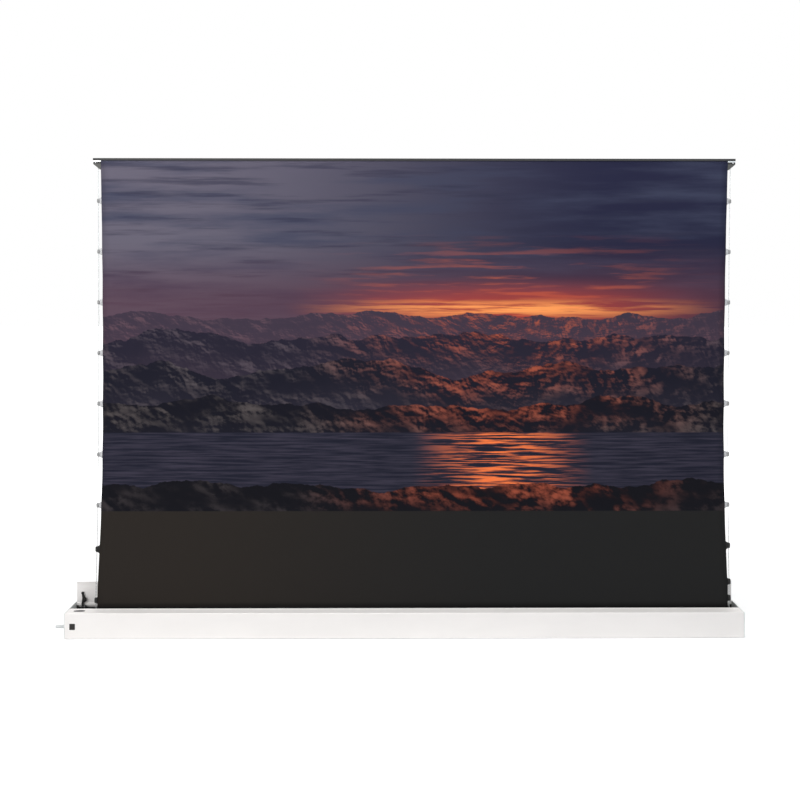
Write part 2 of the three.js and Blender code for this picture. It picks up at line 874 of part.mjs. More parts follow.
function barEndCap(side) {
  const plate = outlineOf([
    [barFrontY, barBodyTop],
    [barFrontY, barBottom + barChamfer],
    [barFrontY + barChamfer, barBottom],
    [barRearY, barBottom, barRadius],
    [barRearY, barBodyTop],
  ]);
  const spigot = outlineOf([
    [barFrontY + barChamfer + fitGap, barBottom + barWall + fitGap],
    [barRearY - barWall - fitGap, barBottom + barWall + fitGap],
    [barRearY - barWall - fitGap, barBodyTop - barWall - fitGap],
    [barFrontY + barChamfer + fitGap, barBodyTop - barWall - fitGap],
  ]);
  const plateX = side < 0 ? barLeft : barRight - barCapWall;
  const spigotX = side < 0 ? barLeft : barRight - barCapSpigot;
  return alongX(plate, barCapWall, plateX).add(alongX(spigot, barCapSpigot, spigotX));
}

// Top strip: closes the bar and folds down over the fabric's top edge
function barTopStrip() {
  const under = barBodyTop + fitGap;
  const section = outlineOf([
    [stripFrontY, barTop, stripRadius],
    [stripFrontY, under - stripLipDrop],
    [stripFrontY + stripLipWall, under - stripLipDrop],
    [stripFrontY + stripLipWall, under],
    [stripRearY, under],
    [stripRearY, barTop, stripRadius],
  ]);
  return alongX(section, barLength, barLeft);
}

// Half width of the fabric or the cords at a height: drawn in from the bar's ends to the waist
function halfAt(z, topInset, waistInset, footInset) {
  if (z >= waistHeight) {
    const rise = (z - waistHeight) / (fabricTop - waistHeight);
    return barLength / 2 - THREE.MathUtils.lerp(waistInset, topInset, rise * rise);
  }
  const drop = Math.min((waistHeight - z) / (waistHeight - footHeight), 1);
  return barLength / 2 - THREE.MathUtils.lerp(waistInset, footInset, drop * drop);
}

function fabricHalfAt(z) {
  return halfAt(z, fabricTopInset, fabricWaistInset, fabricFootInset);
}

// Half width of the fabric's faceted edge, which runs straight between its steps
function fabricEdgeAt(z) {
  const step = (fabricTop - footHeight) / fabricSteps;
  const place = Math.max((z - footHeight) / step, 0);
  const below = footHeight + Math.floor(place) * step;
  return THREE.MathUtils.lerp(fabricHalfAt(below), fabricHalfAt(below + step), place % 1);
}

function cordHalfAt(z) {
  return halfAt(z, cordTopInset, cordWaistInset, cordFootInset);
}

// Cord bracket: a wedge under the bar's end with a blind hole for the cord
function cordBracket(side) {
  const top = barBottom - fitGap;
  const outer = side * (barLength / 2 - fitGap) + screenShift;
  const inner = outer - side * cordBracketLength;
  const wedge = outlineOf([
    [outer, top],
    [outer, top - cordBracketNose, cordBracketRadius],
    [inner + side * cordBracketFoot, top - cordBracketDrop, cordBracketRadius],
    [inner, top - cordBracketDrop],
    [inner, top],
  ]);
  const body = alongY(wedge, cordBracketRearY - barFrontY, barFrontY);
  const cordX = screenShift + side * cordHalfAt(top);
  const hole = solidOf(new THREE.CylinderGeometry(
    cordRadius + fitGap, cordRadius + fitGap, cordEntry + cordBracketDrop, plainFacets / 2,
  ).rotateX(Math.PI / 2).translate(cordX, cordY, top - cordBracketDrop - cutOverrun));
  return body.subtract(hole);
}

function topPin(centreX) {
  const flangeStart = barRearY + fitGap;
  const armRear = upperArmFrontY + armThickness;
  return turnedAboutY([
    [0, flangeStart],
    [topPinFlangeRadius, flangeStart],
    [topPinFlangeRadius, flangeStart + topPinFlangeWall],
    [pinRadius - 1.5 * fitGap, flangeStart + topPinFlangeWall],
    [pinRadius - 1.5 * fitGap, armRear + fitGap],
    [pinHeadRadius, armRear + fitGap],
    [pinHeadRadius, armRear + fitGap + topPinWasher],
    [0, armRear + fitGap + topPinWasher],
  ], centreX, topPivotHeight);
}

// Fabric: one flat sheet, drawn in at the waist by its side cords
function screenFabric() {
  const bottom = rollerHeight + fitGap;
  const span = fabricTop - footHeight;
  const leftEdge = [[screenShift - fabricFootHalf, bottom]];
  const rightEdge = [[screenShift + fabricFootHalf, bottom]];
  for (let i = 0; i <= fabricSteps; i += 1) {
    const z = footHeight + (span * i) / fabricSteps;
    leftEdge.push([screenShift - fabricHalfAt(z), z]);
    rightEdge.push([screenShift + fabricHalfAt(z), z]);
  }
  const outline = outlineOf([...leftEdge, ...rightEdge.reverse()]);
  return alongY(outline, fabricWall, fabricY - fabricWall / 2);
}

// Tension cord: one side's cord from the bar to the roller, with the tabs that hold the fabric
function tensionCord(side) {
  const cordTop = barBottom - fitGap - cordBracketDrop + cordEntry;
  const spoolY = rollerY + tubeRadius + cordRadius + fitGap;
  const places = [point(screenShift + side * cordFootHalf, spoolY, cordSpoolHeight)];
  for (let i = 0; i <= fabricSteps; i += 1) {
    const z = cordLow + ((cordTop - cordLow) * i) / fabricSteps;
    places.push(point(screenShift + side * cordHalfAt(z), cordY, z));
  }
  const section = new THREE.Shape();
  for (let k = 0; k < cordSides; k += 1) {
    const around = (2 * Math.PI * k) / cordSides;
    const corner = [cordRadius * Math.cos(around), cordRadius * Math.sin(around)];
    if (k === 0) {
      section.moveTo(...corner);
    } else {
      section.lineTo(...corner);
    }
  }
  section.closePath();
  const path = new THREE.CatmullRomCurve3(places);
  let solid = solidOf(new THREE.ExtrudeGeometry(section, {
    steps: cordSteps,
    extrudePath: path,
    curveSegments: 1,
  }));
  const heights = side < 0 ? [...lowTabsLeft] : [...lowTabsRight];
  const leastHeight = Math.max(...heights) + tabHeight + tabLeastGap;
  for (let i = 0; i < tabCount && tabTopHeight - i * tabPitch > leastHeight; i += 1) {
    heights.push(tabTopHeight - i * tabPitch);
  }
  for (const z of heights) {
    const cordX = screenShift + side * cordHalfAt(z);
    const widest = Math.max(fabricEdgeAt(z - tabHeight / 2), fabricEdgeAt(z + tabHeight / 2));
    const edgeX = screenShift + side * (widest + fitGap);
    const bead = solidOf(new THREE.CylinderGeometry(
      tabBeadRadius, tabBeadRadius, tabHeight, tabBeadSides,
    ).rotateX(Math.PI / 2).translate(cordX, cordY, z));
    const plate = boxBetween(
      point(Math.min(cordX, edgeX), cordY - tabWall, z - tabHeight / 2),
      point(Math.max(cordX, edgeX), cordY, z + tabHeight / 2),
    );
    solid = solid.add(bead).add(plate);
  }
  return solid;
}

// Hinge rail: a channel on the rear wall that wraps the lid's bead and leaves its swing open
function hingeRail() {
  const wrap = new THREE.Shape();
  const start = railOpenAngle - railWrapAngle;
  wrap.absarc(hingeY, hingeHeight, railOuterRadius, start, railOpenAngle, false);
  wrap.absarc(hingeY, hingeHeight, railBore, railOpenAngle, start, true);
  wrap.closePath();
  const channel = new THREE.ExtrudeGeometry(wrap, {
    depth: shellLength,
    bevelEnabled: false,
    curveSegments: plainFacets / 2,
  });
  const ring = solidOf(channel.applyMatrix4(sectionToX).translate(-shellLength / 2, 0, 0));
  const footBase = rearWallTop + railFootHeight;
  const foot = outlineOf([
    [hingeY - railOuterRadius, footBase],
    [rearY, footBase],
    [rearY, hingeHeight - railBore],
    [hingeY + railBore, hingeHeight - railBore],
    [hingeY, hingeHeight - (railBore + railOuterRadius) / 2],
    [hingeY - railOuterRadius, hingeHeight - railOuterRadius],
  ]);
  return ring.add(alongX(foot, shellLength, -shellLength / 2));
}

// Lid: an upright panel with a bead along its foot and a hook along its free edge
function lidPanel() {
  const lidStart = leftX + capWall + lidSideGap;
  const front = hingeY - lidWall / 2;
  const rear = hingeY + lidWall / 2;
  const section = outlineOf([
    [hingeY - lidNeckWall / 2, hingeHeight],
    [hingeY + lidNeckWall / 2, hingeHeight],
    [hingeY + lidNeckWall / 2, lidBase],
    [rear, lidBase],
    [rear, lidTop, lidWall / 2],
    [front - lidHookReach, lidTop, lidWall / 2],
    [front - lidHookReach, lidTop - lidHookWall],
    [front, lidTop - lidHookWall],
    [front, lidBase],
    [hingeY - lidNeckWall / 2, lidBase],
  ]);
  const length = -2 * lidStart;
  const bead = rodAlongX(lidBeadRadius, lidStart, lidStart + length, hingeY, hingeHeight);
  return alongX(section, length, lidStart).add(bead);
}

// Lid lever, upright about its pivot at the origin: hub, cranked arm and the roller at its tip
function lidLever(side, length) {
  const half = leverWidth / 2;
  const knee = -side * leverKneeX;
  const tip = -side * leverTipX;
  const arm = outlineOf([
    [-half, 0],
    [half, 0],
    [half, leverNeckRise],
    [knee + half, leverKneeRise, half],
    [tip + half, length],
    [tip - half, length],
    [knee - half, leverKneeRise, half],
    [-half, leverNeckRise],
  ]);
  const plate = alongY(arm, leverWall, -leverWall / 2);
  const hub = rodAlongX(leverHubRadius, -leverHubLength / 2, leverHubLength / 2, 0, 0);
  const tipStart = tip - leverHubLength / 2;
  const tipRoller = rodAlongX(leverTipRadius, tipStart, tipStart + leverHubLength, 0, length);
  const knob = rodAlongY(leverKneeRadius, -leverWall / 2, leverWall / 2, knee, leverKneeRise);
  const bore = rodAlongX(
    leverPinRadius + fitGap, -leverHubLength, leverHubLength, 0, 0,
  );
  return plate.add(hub).add(tipRoller).add(knob).subtract(bore);
}

// Lever bracket: a block on the rear wall with two ears and the lever's pin
function leverBracket(centreX) {
  const earGap = leverHubLength / 2 + fitGap;
  const blockFront = troughRearY - fitGap - leverBlockDepth;
  const top = leverPivotHeight;
  const block = boxBetween(
    point(centreX - earGap - leverEarWall, blockFront, top - leverBlockHeight),
    point(centreX + earGap + leverEarWall, troughRearY - fitGap, top),
  );
  const ear = new THREE.Shape();
  ear.moveTo(blockFront + leverBlockDepth / 2, top - leverBlockHeight);
  ear.lineTo(blockFront + leverBlockDepth / 2, top);
  ear.lineTo(leverPivotY, top + leverEarRadius);
  ear.absarc(leverPivotY, top, leverEarRadius, Math.PI / 2, (3 * Math.PI) / 2, false);
  ear.closePath();
  const leftEar = alongX(ear, leverEarWall, centreX - earGap - leverEarWall);
  const rightEar = alongX(ear, leverEarWall, centreX + earGap);
  const reach = earGap + leverEarWall / 2;
  const pin = rodAlongX(leverPinRadius, centreX - reach, centreX + reach, leverPivotY, top);
  return block.add(leftEar).add(rightEar).add(pin);
}

// Case and what is fixed to it
add('front_cover', frontCover(), materials.whiteShell);
add('base_trough', baseTrough(), materials.trough);
add('end_cap_left', endCap(-1), materials.whiteShell);
add('end_cap_right', endCap(1), materials.whiteShell);
add('foot_pad_left', footPad(leftX + padInset), materials.rubber);
add('foot_pad_centre', footPad(0), materials.rubber);
add('foot_pad_right', footPad(rightX - padInset), materials.rubber);
add('sensor_window', sensorWindow(), materials.darkLens);
add('lip_inlay', lipInlay(), materials.blackPlastic);
add('cord_gland', cordGland(), materials.greyPlastic);
add('control_box', controlBox(), materials.blackPlastic);
add('hinge_rail', hingeRail(), materials.aluminium);

// Drive at the left end of the roller and idler at its right end
const motorPlateX = tubeLeft - fitGap - motorHeadLength - fitGap - bracketWall;
const idlerPlateX = tubeRight + idlerGap;
add('motor_bracket', rollerBracket(motorPlateX, motorPlateX, motorSpigotRadius), materials.steel);
add('tubular_motor', tubularMotor(motorPlateX), materials.blackPlastic);
const idlerFootX = idlerPlateX + bracketWall - bracketFootLength;
add('idler_bracket', rollerBracket(idlerPlateX, idlerFootX, bearingRadius), materials.steel);
add('idler_bearing', idlerBearing(idlerPlateX), materials.steel);
add('roller_tube', rollerTube(), materials.aluminium);
add('fabric_roll', fabricRoll(), materials.fabricBlack);
add('drive_wheel', driveWheel(), materials.blackPlastic);
add('idler_plug', idlerPlug(idlerPlateX), materials.blackPlastic);

// Lift arms, knees inward, with their brackets, pins and springs
for (const [label, side] of [['left', -1], ['right', 1]]) {
  const baseX = screenShift + (side * armSpacing) / 2;
  const kneeX = baseX - side * armLength * Math.sin(raisedAngle);
  const kneeZ = basePivotHeight + armLength * Math.cos(raisedAngle);
  add(`arm_bracket_${label}`, armBracket(baseX), materials.steel);
  const cheekRear = rearCheekY + cheekWall;
  add(`base_pin_${label}`, headedPin(frontCheekY, cheekRear, baseX, basePivotHeight), materials.steel);
  add(`lift_spring_${label}`, liftSpring(baseX, side), materials.springSteel);
  const lower = add(`lower_arm_${label}`, liftArm(lowerArmWidth), materials.aluminium);
  lower.position.set(baseX, lowerArmFrontY, basePivotHeight);
  lower.rotation.y = -side * raisedAngle;
  const upper = add(`upper_arm_${label}`, liftArm(upperArmWidth), materials.aluminium);
  upper.position.set(kneeX, upperArmFrontY, kneeZ);
  upper.rotation.y = side * raisedAngle;
  const kneeRear = lowerArmFrontY + armThickness;
  add(`elbow_pin_${label}`, headedPin(upperArmFrontY, kneeRear, kneeX, kneeZ), materials.steel);
  add(`top_pin_${label}`, topPin(baseX), materials.steel);
}

// Top bar with its strip, end caps and cord brackets
add('top_bar', topBar(), materials.aluminium);
add('bar_top_strip', barTopStrip(), materials.blackPlastic);
add('bar_end_cap_left', barEndCap(-1), materials.aluminium);
add('bar_end_cap_right', barEndCap(1), materials.aluminium);
add('cord_bracket_left', cordBracket(-1), materials.greyPlastic);
add('cord_bracket_right', cordBracket(1), materials.greyPlastic);

// Screen
add('screen_fabric', screenFabric(), materials.fabricBlack);
add('tension_cord_left', tensionCord(-1), materials.cord);
add('tension_cord_right', tensionCord(1), materials.cord);

// Lid with the levers that push it open
add('lid_panel', lidPanel(), materials.whiteShell);
const tipY = hingeY - lidWall / 2 - fitGap - leverTipRadius;
const leverRise = leverTipHeight - leverPivotHeight;
const leverLean = Math.atan2(tipY - leverPivotY, leverRise);
const leverLength = Math.hypot(tipY - leverPivotY, leverRise);
for (const [label, side] of [['left', -1], ['right', 1]]) {
  const leverX = side * (rightX - leverInset);
  add(`lever_bracket_${label}`, leverBracket(leverX), materials.steel);
  const lever = add(`lid_lever_${label}`, lidLever(side, leverLength), materials.blackPlastic);
  lever.position.set(leverX, leverPivotY, leverPivotHeight);
  lever.rotation.x = -leverLean;
}

export default screen;
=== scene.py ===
import math

import bmesh
import bpy
from mathutils import Matrix, Vector


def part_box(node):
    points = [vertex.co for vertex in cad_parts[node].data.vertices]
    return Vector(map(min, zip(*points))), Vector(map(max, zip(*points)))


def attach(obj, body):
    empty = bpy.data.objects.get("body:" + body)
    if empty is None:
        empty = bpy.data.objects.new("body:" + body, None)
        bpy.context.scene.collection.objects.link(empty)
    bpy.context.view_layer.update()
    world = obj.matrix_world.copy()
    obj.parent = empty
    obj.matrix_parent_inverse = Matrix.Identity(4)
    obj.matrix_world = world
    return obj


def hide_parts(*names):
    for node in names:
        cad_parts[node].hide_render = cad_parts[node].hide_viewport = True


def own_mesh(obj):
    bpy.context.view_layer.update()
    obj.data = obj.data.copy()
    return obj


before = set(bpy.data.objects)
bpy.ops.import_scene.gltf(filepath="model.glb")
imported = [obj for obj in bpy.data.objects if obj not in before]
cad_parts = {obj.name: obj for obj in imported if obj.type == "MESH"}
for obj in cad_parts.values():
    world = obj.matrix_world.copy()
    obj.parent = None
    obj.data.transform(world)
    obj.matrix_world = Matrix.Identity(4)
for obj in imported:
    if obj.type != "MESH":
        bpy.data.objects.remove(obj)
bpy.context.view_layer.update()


# Camera: stands 4.3 m in front of the screen at a standing person's eye height, and looks
# level and very slightly to the right, as the photograph does.
camera_lens = bpy.data.cameras.new("front_camera")
camera_lens.sensor_width = 36.0
camera_lens.lens = 44.743
camera_lens.shift_x = -0.00525
camera_lens.shift_y = -0.14625
camera_roll = -0.0004
camera_turn = -0.0066
camera = bpy.data.objects.new("front_camera", camera_lens)
camera.location = (-0.032, -4.272, 1.501)
camera.rotation_euler = (math.radians(90), camera_roll, camera_turn)
bpy.context.scene.collection.objects.link(camera)
bpy.context.scene.camera = camera
bpy.context.scene.view_settings.view_transform = "Standard"


# Room: a plain white floor and an even white surround. A broad lamp stands on each side of
# the camera, one hangs overhead and one stands behind the screen, so that the case keeps a
# thin soft shadow under it.
def add_node(tree, kind, inputs=None, **settings):
    made = tree.nodes.new("ShaderNode" + kind)
    for name, value in settings.items():
        setattr(made, name, value)
    for name, value in (inputs or {}).items():
        if isinstance(value, bpy.types.NodeSocket):
            tree.links.new(value, made.inputs[name])
        else:
            made.inputs[name].default_value = value
    return made


def reckon(tree, operation, *values):
    terms = dict(enumerate(values))
    return add_node(tree, "Math", terms, operation=operation).outputs[0]


def between(tree, value, low, high, start=0.3, end=0.7, **settings):
    return add_node(tree, "MapRange", {
        "Value": value, "From Min": start, "From Max": end, "To Min": low, "To Max": high,
    }, **settings).outputs["Result"]


def rays_that_see_white(tree):
    path = add_node(tree, "LightPath").outputs
    seen = reckon(tree, "MAXIMUM", path["Is Camera Ray"], path["Is Glossy Ray"])
    return reckon(tree, "MAXIMUM", seen, path["Is Transmission Ray"])


surround = bpy.data.worlds.new("white_surround")
surround.use_nodes = True
surround_tree = surround.node_tree
surround_tree.nodes.clear()
surround_fill = 0.36
surround_shade = add_node(surround_tree, "Background", {
    "Color": (1, 1, 1, 1),
    "Strength": between(
        surround_tree, rays_that_see_white(surround_tree), surround_fill, 1.0, 0.0, 1.0,
    ),
})
add_node(surround_tree, "OutputWorld", {"Surface": surround_shade.outputs[0]})
bpy.context.scene.world = surround

floor_reach = 30
floor_shape = bmesh.new()
bmesh.ops.create_grid(floor_shape, x_segments=1, y_segments=1, size=floor_reach)
floor_mesh = bpy.data.meshes.new("studio_floor")
floor_shape.to_mesh(floor_mesh)
floor_shape.free()
floor_white = bpy.data.materials.new("floor_white")
floor_white.use_nodes = True
floor_tree = floor_white.node_tree
floor_tree.nodes.clear()
floor_matt = add_node(floor_tree, "BsdfDiffuse", {"Color": (0.9, 0.9, 0.9, 1)})
from_screen = add_node(floor_tree, "VectorMath", {
    0: add_node(floor_tree, "TexCoord").outputs["Object"],
}, operation="LENGTH").outputs["Value"]
lift_by_screen, lift_far_off = 0.4, 1.0
near_floor, far_floor = 2.0, 4.0
floor_lift = between(
    floor_tree, from_screen, lift_by_screen, lift_far_off, near_floor, far_floor,
    interpolation_type="SMOOTHSTEP",
)
floor_glow = add_node(floor_tree, "Emission", {
    "Color": (1, 1, 1, 1),
    "Strength": reckon(floor_tree, "MULTIPLY", rays_that_see_white(floor_tree), floor_lift),
})
floor_sum = add_node(floor_tree, "AddShader", {
    0: floor_matt.outputs[0], 1: floor_glow.outputs[0],
})
add_node(floor_tree, "OutputMaterial", {"Surface": floor_sum.outputs[0]})
floor_mesh.materials.append(floor_white)
floor = bpy.data.objects.new("studio_floor", floor_mesh)
bpy.context.scene.collection.objects.link(floor)


def soft_lamp(name, place, aim, width, height, power, colour=(1, 1, 1)):
    light = bpy.data.lights.new(name, "AREA")
    light.shape = "RECTANGLE"
    light.size = width
    light.size_y = height
    light.energy = power
    light.color = colour
    lamp = bpy.data.objects.new(name, light)
    lamp.location = place
    lamp.rotation_euler = (Vector(aim) - Vector(place)).to_track_quat("-Z", "Y").to_euler()
    bpy.context.scene.collection.objects.link(lamp)


screen_centre = (0, 0, 0.8)
cool_white = (0.72, 0.86, 1.0)
soft_lamp("left_lamp", (-3.2, -4.2, 2.6), screen_centre, 2.4, 2.4, power=94)
soft_lamp("right_lamp", (3.4, -4.2, 2.4), screen_centre, 2.4, 2.4, power=26, colour=cool_white)
soft_lamp("top_lamp", (0, -1.2, 4.4), (0, -0.1, 0), 4.0, 2.0, power=112)
soft_lamp("rear_lamp", (0, 3.6, 3.4), screen_centre, 3.0, 2.0, power=50)


# Case: the front and lip are one drawn aluminium section, the floor and rear wall a folded
# steel trough. Outside they are powder coated warm white. Inside, below the rail band, the
# trough is painted near-black as painted shade.
def new_finish(name, colour, roughness, metallic=0.0, specular=0.5):
    finish = bpy.data.materials.new(name)
    finish.use_nodes = True
    shader = finish.node_tree.nodes["Principled BSDF"]
    shader.inputs["Base Color"].default_value = (*colour, 1)
    shader.inputs["Roughness"].default_value = roughness
    shader.inputs["Metallic"].default_value = metallic
    shader.inputs["Specular IOR Level"].default_value = specular
    return finish, finish.node_tree, shader


def mottle(tree, cell, turn=(0, 0, 0), detail=2.0):
    place = add_node(tree, "TexCoord").outputs["Object"]
    cells = add_node(tree, "Mapping", {
        "Vector": place, "Rotation": turn, "Scale": cell,
    }, vector_type="TEXTURE")
    return add_node(tree, "TexNoise", {
        "Vector": cells.outputs["Vector"], "Scale": 1.0, "Detail": detail,
    }).outputs["Fac"]


def mix_colours(tree, share, first, second):
    made = tree.nodes.new("ShaderNodeMix")
    made.data_type = "RGBA"
    for place, value in ((0, share), (6, first), (7, second)):
        if isinstance(value, bpy.types.NodeSocket):
            tree.links.new(value, made.inputs[place])
        elif place:
            made.inputs[place].default_value = (*value, 1)
        else:
            made.inputs[place].default_value = value
    return made.outputs[2]


def cloud_colour(tree, shader, colour, share, dark, light, lift=0.0):
    darker = tuple(part * dark for part in colour)
    lighter = tuple(min(1.0, part * light + lift) for part in colour)
    tree.links.new(mix_colours(tree, share, darker, lighter), shader.inputs["Base Color"])


def vary_roughness(tree, shader, value, smooth, rough):
    tree.links.new(between(tree, value, smooth, rough), shader.inputs["Roughness"])


def raise_grain(tree, shader, height, depth):
    bump = add_node(tree, "Bump", {"Height": height, "Distance": depth, "Strength": 1.0})
    tree.links.new(bump.outputs["Normal"], shader.inputs["Normal"])


def powder_coat(name, colour, roughness=0.42, peel_size=0.0016, peel_depth=0.00004):
    finish, tree, shader = new_finish(name, colour, roughness)
    cloud = mottle(tree, (0.35, 0.12, 0.12), detail=3.0)
    cloud_colour(tree, shader, colour, between(tree, cloud, 0.0, 1.0), 0.97, 1.015)
    peel = mottle(tree, (peel_size, peel_size, peel_size), detail=1.5)
    vary_roughness(tree, shader, peel, roughness - 0.05, roughness + 0.05)
    raise_grain(tree, shader, peel, peel_depth)
    return finish


def object_axis(tree, axis):
    place = add_node(tree, "TexCoord").outputs["Object"]
    return add_node(tree, "SeparateXYZ", {"Vector": place}).outputs[axis]


def recolour(finish, part, colour):
    tree = finish.node_tree
    base = tree.nodes["Principled BSDF"].inputs["Base Color"]
    tree.links.new(mix_colours(tree, part, base.links[0].from_socket, colour), base)


def dress(finish, *nodes):
    for node in nodes:
        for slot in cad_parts[node].material_slots:
            slot.material = finish


warm_white = (0.9, 0.868, 0.845)
case_white = powder_coat("case_white", warm_white)
dress(case_white, "front_cover")

trough_coat = powder_coat("trough_coat", warm_white)
trough_tree = trough_coat.node_tree
# painted shade: the trough's inside below the rail band is near-black, with dust mottled on it
trough_painted_shade = (0.02, 0.02, 0.021)
trough_dust = (0.06, 0.058, 0.055)
half_wall = 0.0012
rear_wall_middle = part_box("base_trough")[1].y - half_wall
rail_band_z = 0.0885
outside = reckon(trough_tree, "GREATER_THAN", object_axis(trough_tree, "Y"), rear_wall_middle)
at_rail = reckon(trough_tree, "GREATER_THAN", object_axis(trough_tree, "Z"), rail_band_z)
white_part = reckon(trough_tree, "MAXIMUM", outside, at_rail)
dust = mottle(trough_tree, (0.02, 0.02, 0.02), detail=4.0)
dusty_painted_shade = mix_colours(
    trough_tree, between(trough_tree, dust, 0.0, 0.4), trough_painted_shade, trough_dust,
)
recolour(trough_coat, reckon(trough_tree, "SUBTRACT", 1.0, white_part), dusty_painted_shade)
dress(trough_coat, "base_trough")


# End caps: one fine-grained light grey moulding closes each end of the case. The rim on its
# inner face is painted near-black as painted shade, like the trough. It is pushed into the
# case and clips there, so that no fixing shows outside.
def moulded_plastic(name, colour, roughness=0.5, grain=0.0007, depth=0.00003, specular=0.5):
    finish, tree, shader = new_finish(name, colour, roughness, specular=specular)
    texture = mottle(tree, (grain, grain, grain), detail=2.0)
    flow = mottle(tree, (0.05, 0.05, 0.05), detail=2.0)
    cloud_colour(
        tree, shader, colour, between(tree, flow, 0.0, 1.0), 0.95, 1.03, lift=0.002,
    )
    vary_roughness(tree, shader, texture, roughness - 0.06, roughness + 0.06)
    raise_grain(tree, shader, texture, depth)
    return finish


cap_grey = moulded_plastic("cap_grey", (0.78, 0.8, 0.785))
# painted shade: the rim on the cap's inner face is near-black instead of the moulding's grey
rim_painted_shade = (0.03, 0.029, 0.028)
grey_part_wall = 0.0045
cap_rim_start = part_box("end_cap_right")[1].x - grey_part_wall
cap_tree = cap_grey.node_tree
from_middle = reckon(cap_tree, "ABSOLUTE", object_axis(cap_tree, "X"))
recolour(cap_grey, reckon(cap_tree, "LESS_THAN", from_middle, cap_rim_start), rim_painted_shade)
dress(cap_grey, "end_cap_left", "end_cap_right")


# Foot pads: three ribbed strips of black rubber, glued under the trough's floor. The whole
# screen stands on them.
foot_rubber = moulded_plastic(
    "foot_rubber", (0.018, 0.018, 0.018), 0.85, grain=0.0012, depth=0.00012,
)
dress(foot_rubber, "foot_pad_left", "foot_pad_centre", "foot_pad_right")


# Sensor window: a dark glossy lens clipped into the front wall near the left end, with the
# remote control's receiver behind it.
lens_dark, lens_tree, lens_shader = new_finish(
    "lens_dark", (0.014, 0.011, 0.009), 0.12, specular=0.3,
)
vary_roughness(lens_tree, lens_shader, mottle(lens_tree, (0.01, 0.01, 0.01)), 0.08, 0.2)
lens_shader.inputs["Coat Weight"].default_value = 0.1
lens_shader.inputs["Coat Roughness"].default_value = 0.05
dress(lens_dark, "sensor_window")


# Lip inlay: a small oval plate of smooth dark plastic, stuck in the lip's groove near the
# left end. It is bare.
inlay_dark = moulded_plastic(
    "inlay_dark", (0.03, 0.028, 0.032), 0.3, grain=0.002, depth=0.00001,
)
dress(inlay_dark, "lip_inlay")


# Cord gland: a tapered sleeve with four round ribs, its flange and its nut are one soft
# turned moulding in the left end cap, open along its middle for a lead.
def make_piece(name, shape, body, slot, *finishes, sharp=35):
    bmesh.ops.remove_doubles(shape, verts=shape.verts[:], dist=0.000001)
    bmesh.ops.recalc_face_normals(shape, faces=shape.faces[:])
    mesh = bpy.data.meshes.new(name)
    shape.to_mesh(mesh)
    shape.free()
    mesh.shade_smooth()
    mesh.set_sharp_from_angle(angle=math.radians(sharp))
    for finish in finishes:
        mesh.materials.append(finish)
    piece = bpy.data.objects.new(name, mesh)
    bpy.context.scene.collection.objects.link(piece)
    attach(piece, body)
    return piece


def turn_profile(shape, profile, middle, along, out, steps, closed=True):
    along, out = Vector(along), Vector(out)
    rim = [shape.verts.new(Vector(middle) + along * far + out * near) for near, far in profile]
    pairs = list(zip(rim, rim[1:])) + ([(rim[-1], rim[0])] if closed else [])
    edges = [shape.edges.new(pair) for pair in pairs]
    bmesh.ops.spin(
        shape, geom=rim + edges, cent=middle, axis=along, angle=2 * math.pi, steps=steps,
        use_merge=True, use_duplicate=False,
    )


gland_grey = moulded_plastic("gland_grey", (0.66, 0.68, 0.68), 0.55)
gland_low, gland_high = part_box("cord_gland")
gland_middle = (0, (gland_low.y + gland_high.y) / 2, (gland_low.z + gland_high.z) / 2)
gland_tip = gland_low.x
flange_gap = 0.0003
flange_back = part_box("end_cap_left")[0].x - flange_gap
bore_radius, tip_radius, shank_radius, flange_radius = 0.0035, 0.006, 0.008, 0.012
tip_round, flange_round = 0.0004, 0.0006
flange_wall, nut_wall = 0.006, 0.003
rib_count, rib_height = 4, 0.0008
sleeve_start, sleeve_end = gland_tip + tip_round, flange_back - flange_wall
nut_face = gland_high.x - nut_wall
sleeve_steps = 40
gland_profile = [
    (bore_radius, gland_tip), (tip_radius - tip_round, gland_tip), (tip_radius, sleeve_start),
]
for step in range(sleeve_steps + 1):
    share = step / sleeve_steps
    rib = max(0.0, math.cos(2 * math.pi * ((rib_count + 1) * share - 1))) ** 2
    taper = tip_radius + (shank_radius - tip_radius) * share
    if 0.1 < share < 0.9:
        taper += rib_height * rib
    gland_profile.append((taper, sleeve_start + (sleeve_end - sleeve_start) * share))
gland_profile += [
    (flange_radius - flange_round, sleeve_end), (flange_radius, sleeve_end + flange_round),
    (flange_radius, flange_back - flange_round),
    (flange_radius - flange_round, flange_back), (shank_radius, flange_back),
    (shank_radius, nut_face), (flange_radius, nut_face), (flange_radius, gland_high.x),
    (bore_radius, gland_high.x),
]
gland_shape = bmesh.new()
turn_profile(gland_shape, gland_profile, gland_middle, (1, 0, 0), (0, 0, 1), steps=48)
gland_sleeve = make_piece("gland_sleeve", gland_shape, "case", "gland", gland_grey, sharp=50)
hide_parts("cord_gland")


# Control box: the receiver and motor control in a black two-part moulding on the floor of
# the case at its left end.
box_black = moulded_plastic(
    "box_black", (0.02, 0.02, 0.021), 0.5, grain=0.0009, depth=0.00005,
)
dress(box_black, "control_box")


# Hinge rail: a drawn aluminium channel along the rear wall, powder coated with the lid. It
# wraps the lid's bead, and its open side faces the room over the trough. Its white is painted
# lighter than the case's, as painted light where it lies in shade behind the lip.
rail_painted_light_white = powder_coat("rail_painted_light_white", (0.96, 0.935, 0.915))
dress(rail_painted_light_white, "hinge_rail")


# Roller drive: a tubular motor inside the roller's left end hangs on a zinc-plated bracket,
# and a plug and ball bearing carry the right end of the drawn tube on another.
def drawn_aluminium(name, colour, cell, turn=(0, 0, 0), roughness=0.32):
    finish, tree, shader = new_finish(name, colour, roughness, metallic=1.0)
    lines = mottle(tree, cell, turn, detail=3.0)
    cloud_colour(tree, shader, colour, between(tree, lines, 0.0, 1.0), 0.9, 1.06)
    vary_roughness(tree, shader, lines, roughness - 0.08, roughness + 0.1)
    raise_grain(tree, shader, lines, 0.00002)
    return finish


